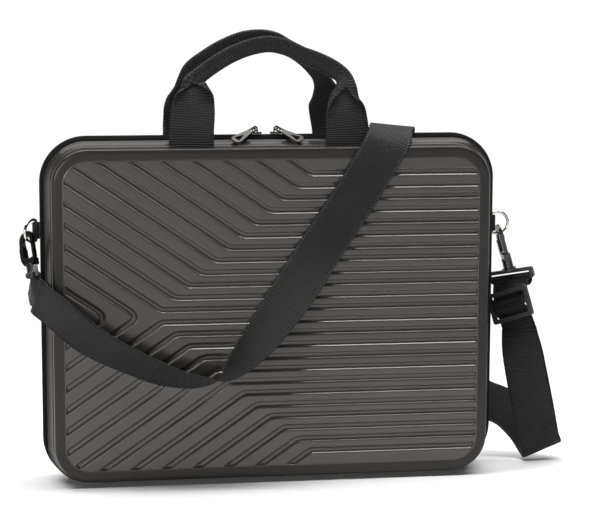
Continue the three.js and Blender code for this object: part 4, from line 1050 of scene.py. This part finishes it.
HANGING_ROWS = [[1.217, 0.23, 0.241, 0.88, -0.33, 0.25], [1.179, 0.06, 0.344, 0.74, -0.52, 0.42]]
# From a loop's or the adjuster's bar: steps back and up in wrap radii, and share of the second way across
TAIL_ROWS = [[0.45, -3, 0.3], [0.75, -1.3, 0]]
LEFT_LEAD_ROWS = [[-1.1, -2.3, 0]]
RISE_ROWS = [[-1.65, -0.9, 1]]
END_ROWS = [
    [4, 6.1, 1], [2.95, 5.4, 0.9], [2.25, 4.8, 0.15], [1.8, 3.6, 0], [1.38, 2.3, 0], [1, 0.65, 0],
    [0.95, -0.65, 0],
]
ADJUSTER_LEAD_ROWS = [[1.3, -7.5, 0]]
LOOP_BAR_AT = -10.0
WRAP_RADIUS = 3.05
ADJUSTER_UP = (-0.22, 0.25, 0.94)
ADJUSTER_ACROSS = (0.54, -0.76, 0.36)
ADJUSTER_OFFSET = Vector((-3.8, -11.4, -22))
ADJUSTER_HALF_HEIGHT = 14.0
ADJUSTER_BAR = 4.0
ADJUSTER_FOLLOW = 5
ADJUSTER_ROOM = 1.0
WEAVE = 2.85
WEAVE_LIFT = 1.35
right_bar = HARDWARE["right"]["loop"] @ Vector((0, 0, LOOP_BAR_AT))
adjuster_place = frame_of(right_bar + ADJUSTER_OFFSET, ADJUSTER_UP, ADJUSTER_ACROSS)


def at_shares(rows):
    return [((x * HALF_WIDTH, y * FRONT_DEPTH, z * CASE_HEIGHT), across) for x, y, z, *across in rows]


def axis_of(place):
    return Vector((place[0][0], place[1][0], place[2][0]))


def wrap(place, start, end):
    """Stations round a loop's bar, from behind it to the front in half turns."""
    out = []
    for angle in math.pi * np.linspace(start, end, WRAP_STEPS):
        back, rise = -WRAP_RADIUS * math.cos(angle), WRAP_RADIUS * math.sin(angle)
        out.append((tuple(place @ Vector((0, back, LOOP_BAR_AT + rise))), tuple(axis_of(place))))
    return out


def in_place(place, middle, rows, one, two):
    """Stations near a bar, whose way across goes from one to two."""
    out = []
    for y, z, mix in rows:
        point = place @ Vector((0, y * WRAP_RADIUS, middle + z * WRAP_RADIUS))
        out.append((tuple(point), tuple(one.lerp(two, mix))))
    return out


def strap_stations():
    """The bound start, the free run, the bound end, and each free length's count of stations."""
    left = at_shares(LEFT_ROWS)
    loop = HARDWARE["left"]["loop"]
    bar, first = axis_of(loop), Vector(left[0][1])
    tail, lead = [in_place(loop, LOOP_BAR_AT, rows, bar, first) for rows in (TAIL_ROWS, LEFT_LEAD_ROWS)]
    start = tail + wrap(loop, *reversed(WRAP_SHARES)) + lead
    loop = HARDWARE["right"]["loop"]
    bar, own = axis_of(loop), axis_of(adjuster_place)
    edge = ADJUSTER_HALF_HEIGHT - ADJUSTER_BAR
    middle = edge - (ADJUSTER_HALF_HEIGHT * 2 - 3 * ADJUSTER_BAR) / 4
    over = ADJUSTER_HALF_HEIGHT + ADJUSTER_ROOM
    half_bar = ADJUSTER_BAR / 2
    rows = [(WEAVE, -over), (WEAVE, -edge), (0, -middle), (-WEAVE, -half_bar), (-WEAVE, half_bar)]
    rows += [(0, middle), (WEAVE, edge), (WEAVE * WEAVE_LIFT, over)]
    threaded = [(tuple(adjuster_place @ Vector((0, y, z))), tuple(own)) for y, z in rows]
    rise = in_place(loop, LOOP_BAR_AT, RISE_ROWS, own, bar)
    end = threaded + rise + wrap(loop, *WRAP_SHARES) + in_place(adjuster_place, 0, END_ROWS, own, bar)
    lead = in_place(adjuster_place, 0, ADJUSTER_LEAD_ROWS, own, bar)
    runs = [left, at_shares(FRONT_ROWS), at_shares(TOP_ROWS), at_shares(REAR_ROWS)]
    free = sum(runs, []) + at_shares(HANGING_ROWS) + lead
    return start, free, end, [len(run) for run in runs]


def fine(stations, steps):
    places, across = zip(*stations)
    return spline(places, steps), spline(across, steps, False)


start_run, free_run, end_run, lengths = strap_stations()
start_places, start_across = fine(start_run + free_run[:1], BIND_STEPS)
free_places, free_across = fine(free_run, STRAP_STEPS)
end_places, end_across = fine(free_run[-1:] + end_run, BIND_STEPS)
all_places = np.vstack([start_places[:-1], free_places, end_places[1:]])
all_across = np.vstack([start_across[:-1], free_across, end_across[1:]])
strap_shape = plain(STRAP_WIDTH, STRAP_THICKNESS, STRAP_EDGE)
strap_rings, strap_runs = ribbon(all_places, all_across, [strap_shape] * len(all_places))
cuts = [0] + [len(start_places) - 1 + (int(seen) - 1) * STRAP_STEPS for seen in np.cumsum(lengths)]
cuts += [len(strap_rings) - len(end_places) + BIND_STEPS, len(strap_rings) - 1]
near_adjuster = [(0, 0, ADJUSTER_HALF_HEIGHT), (0, 0, ADJUSTER_HALF_HEIGHT + ADJUSTER_FOLLOW)]
for (name, bodies), first, last in zip(STRAP_BODIES.items(), cuts[:-1], cuts[1:]):
    piece = make_ribbon(f"strap_{name}_web", strap_rings[first : last + 1], strap_runs[first : last + 1])
    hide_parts("strap_hanging" if name == "threaded" else f"strap_{name}")
    ends = [all_places[first], all_places[last]]
    if name == "threaded":
        ends = [tuple(adjuster_place @ Vector(at)) for at in near_adjuster]
    follow(piece, bodies, ends)


# Inside: hinge strip, gussets, elastic bands and the pocket
BAND_EDGE = 0.8


def flat_band(name, ends, across, width, thickness, material, count):
    """A straight sheet from one end to the other."""
    places = [Vector(ends[0]).lerp(Vector(ends[1]), share) for share in np.linspace(0, 1, count)]
    shapes = [plain(width, thickness, BAND_EDGE)] * count
    return make_ribbon(name, *ribbon(places, [across] * count, shapes), material)


HINGE_LENGTH = 298
HINGE_HALF_DEPTH = 5.6
HINGE_THICKNESS = 1.6
HINGE_HEIGHT = 0.9
hinge_z = HINGE_HEIGHT + HINGE_THICKNESS / 2
hinge_ends = [(0, -HINGE_HALF_DEPTH, hinge_z), (0, HINGE_HALF_DEPTH, hinge_z)]
hinge = flat_band("hinge_web", hinge_ends, (1, 0, 0), HINGE_LENGTH, HINGE_THICKNESS, tape_black, count=40)
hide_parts("hinge_strip")
follow(hinge, ["lid", "back"], hinge_ends)

# Each place of a gusset's front half: how far in from its outer face, and how far from the zip's plane
GUSSET_BOW = [(2.4, -11.4), (1.4, -9.2), (0.6, -7.0), (0.4, 0)]
GUSSET_X = 189.6
GUSSET_HEIGHT = 105.0
GUSSET_THICKNESS = 0.8
GUSSET_EDGE = 0.4
GUSSET_STEPS = 6
for hand_name, hand in HANDS.items():
    bow = [(GUSSET_X - inward, y) for inward, y in GUSSET_BOW]
    bow += [(x, -y) for x, y in bow[-2::-1]]
    middle = RIM_RADIUS + GUSSET_HEIGHT / 2
    curve = spline([(hand * x, y, middle) for x, y in bow], GUSSET_STEPS)
    shapes = [plain(GUSSET_HEIGHT, GUSSET_THICKNESS, GUSSET_EDGE)] * len(curve)
    rings, runs = ribbon(curve, [(0, 0, 1)] * len(curve), shapes)
    gusset = make_ribbon(f"gusset_{hand_name}_cloth", rings, runs, pocket_cloth)
    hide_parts(f"gusset_{hand_name}")
    follow(gusset, ["lid", "back"], [curve[0], curve[-1]])

SHEET_THICKNESS = 1.2
RETAINER_WIDTH = 25
RETAINER_ENDS = [(160, 60), (60, 160)]
POCKET_WIDTH = 260
POCKET_HEIGHTS = (54.5, 204.5)
FLOOR_DEPTH = RELIEF + WALL + LINING_GAP + LINING_THICKNESS + PART_GAP
sheet_y = FRONT_DEPTH - FLOOR_DEPTH - SHEET_THICKNESS / 2
for hand_name, hand in HANDS.items():
    ends = [(hand * x, sheet_y, z) for x, z in RETAINER_ENDS]
    band_name = f"retainer_{hand_name}_web"
    band = flat_band(band_name, ends, (1, 0, hand), RETAINER_WIDTH, SHEET_THICKNESS, web_black, count=120)
    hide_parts(f"retainer_{hand_name}")
    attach(band, "back")
ends = [(0, -sheet_y, z) for z in POCKET_HEIGHTS]
pocket = flat_band("pocket_panel", ends, (1, 0, 0), POCKET_WIDTH, SHEET_THICKNESS, pocket_cloth, count=60)
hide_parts("pocket")
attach(pocket, "lid")


# Hardware that keeps its solid: rounded edges and a metal finish
BEVEL_SEGMENTS = 3
BEVEL_ANGLE = math.radians(35)


def dress(name, material, width):
    piece = nodes[name]
    for slot in piece.material_slots:
        slot.link = "OBJECT"
        slot.material = material
    bevel = piece.modifiers.new("edges", "BEVEL")
    bevel.width = width * MM
    bevel.segments = BEVEL_SEGMENTS
    bevel.limit_method = "ANGLE"
    bevel.angle_limit = BEVEL_ANGLE
    bevel.harden_normals = True


for hand_name in HANDS:
    dress(f"zip_slider_{hand_name}", gunmetal, 0.2)
    dress(f"zip_puller_{hand_name}", gunmetal, 0.3)
    dress(f"hook_{hand_name}", gunmetal, 0.4)
    dress(f"gate_{hand_name}", gunmetal, 0.4)
    dress(f"loop_{hand_name}", painted, 0.5)
    for shell_name in SIDES:
        dress(f"{shell_name}_anchor_{hand_name}", nickel, 0.2)
dress("adjuster", painted, 0.6)

# Stage and light
FLOOR_REACH = 6.0
GLOW = 1.05
GLOW_FADE = (0.35, 0.8)
floor_mesh = bpy.data.meshes.new("floor")
floor_corners = [(x * FLOOR_REACH, y * FLOOR_REACH, 0) for x, y in ((-1, -1), (1, -1), (1, 1), (-1, 1))]
floor_mesh.from_pydata(floor_corners, [], [range(4)])
floor = bpy.data.objects.new("floor", floor_mesh)
bpy.context.scene.collection.objects.link(floor)
pale = Nodes(bpy.data.materials.new("pale_floor"))
pale.set(color=(0.9, 0.9, 0.9), rough=0.9, specular=0.0)
glow = pale.add("ShaderNodeEmission", Strength=GLOW)
spot = pale.add("ShaderNodeNewGeometry").outputs["Position"]
distance = pale.add("ShaderNodeVectorMath", operation="LENGTH")
pale.link(spot, distance.inputs[0])
fade = pale.range(distance.outputs["Value"], 0.0, 1.0, GLOW_FADE, "SMOOTHSTEP")
ray = pale.add("ShaderNodeLightPath")
seen_ray = pale.math("MAXIMUM", ray.outputs["Is Camera Ray"], ray.outputs["Is Glossy Ray"])
share = pale.math("MULTIPLY", seen_ray, fade)
blend_node = pale.add("ShaderNodeMixShader")
pale.link(share, blend_node.inputs["Fac"])
pale.link(pale.shader.outputs[0], blend_node.inputs[1])
pale.link(glow.outputs[0], blend_node.inputs[2])
pale.link(blend_node.outputs[0], pale.tree.nodes["Material Output"].inputs["Surface"])
floor_mesh.materials.append(pale.owner)

# What surfaces see of the backdrop: bright low down and behind the part, dim above and in front
SKY_RAMPS = {"Z": (0.8, 0.1, (0.1, 0.4)), "Y": (0.08, 1.0, (-0.3, 0.4))}
sky = Nodes(bpy.data.worlds.new("world"))
bpy.context.scene.world = sky.owner
background = sky.tree.nodes["Background"]
axes = sky.split(sky.add("ShaderNodeTexCoord").outputs["Generated"])
levels = [sky.range(axes[axis], *facts, "SMOOTHSTEP") for axis, facts in SKY_RAMPS.items()]
strength = sky.range(sky.add("ShaderNodeLightPath").outputs["Is Camera Ray"], 0.0, GLOW)
sky.link(sky.math("MULTIPLY", *levels), strength.node.inputs["To Min"])
sky.link(strength, background.inputs["Strength"])
background.inputs["Color"].default_value = (1, 1, 1, 1)


def soft_light(name, place, aim, size, energy):
    data = bpy.data.lights.new(name, "AREA")
    data.shape = "RECTANGLE"
    data.size, data.size_y = size
    data.energy = energy
    light = bpy.data.objects.new(name, data)
    bpy.context.scene.collection.objects.link(light)
    light.location = place
    light.rotation_euler = (Vector(aim) - light.location).to_track_quat("-Z", "Y").to_euler()


# Each light: its place, what it points at, its size in metres and its power
soft_light("top_box", (0.0, 0.3, 1.8), (0, 0.25, 0.1), (3.0, 1.7), 56)
soft_light("line_box", (0.0, -0.3, 1.6), (0, -0.05, 0.2), (2.4, 0.16), 20)
soft_light("front_box", (-0.9, -2.0, 0.45), (0, 0, 0.1), (1.1, 0.5), 12)
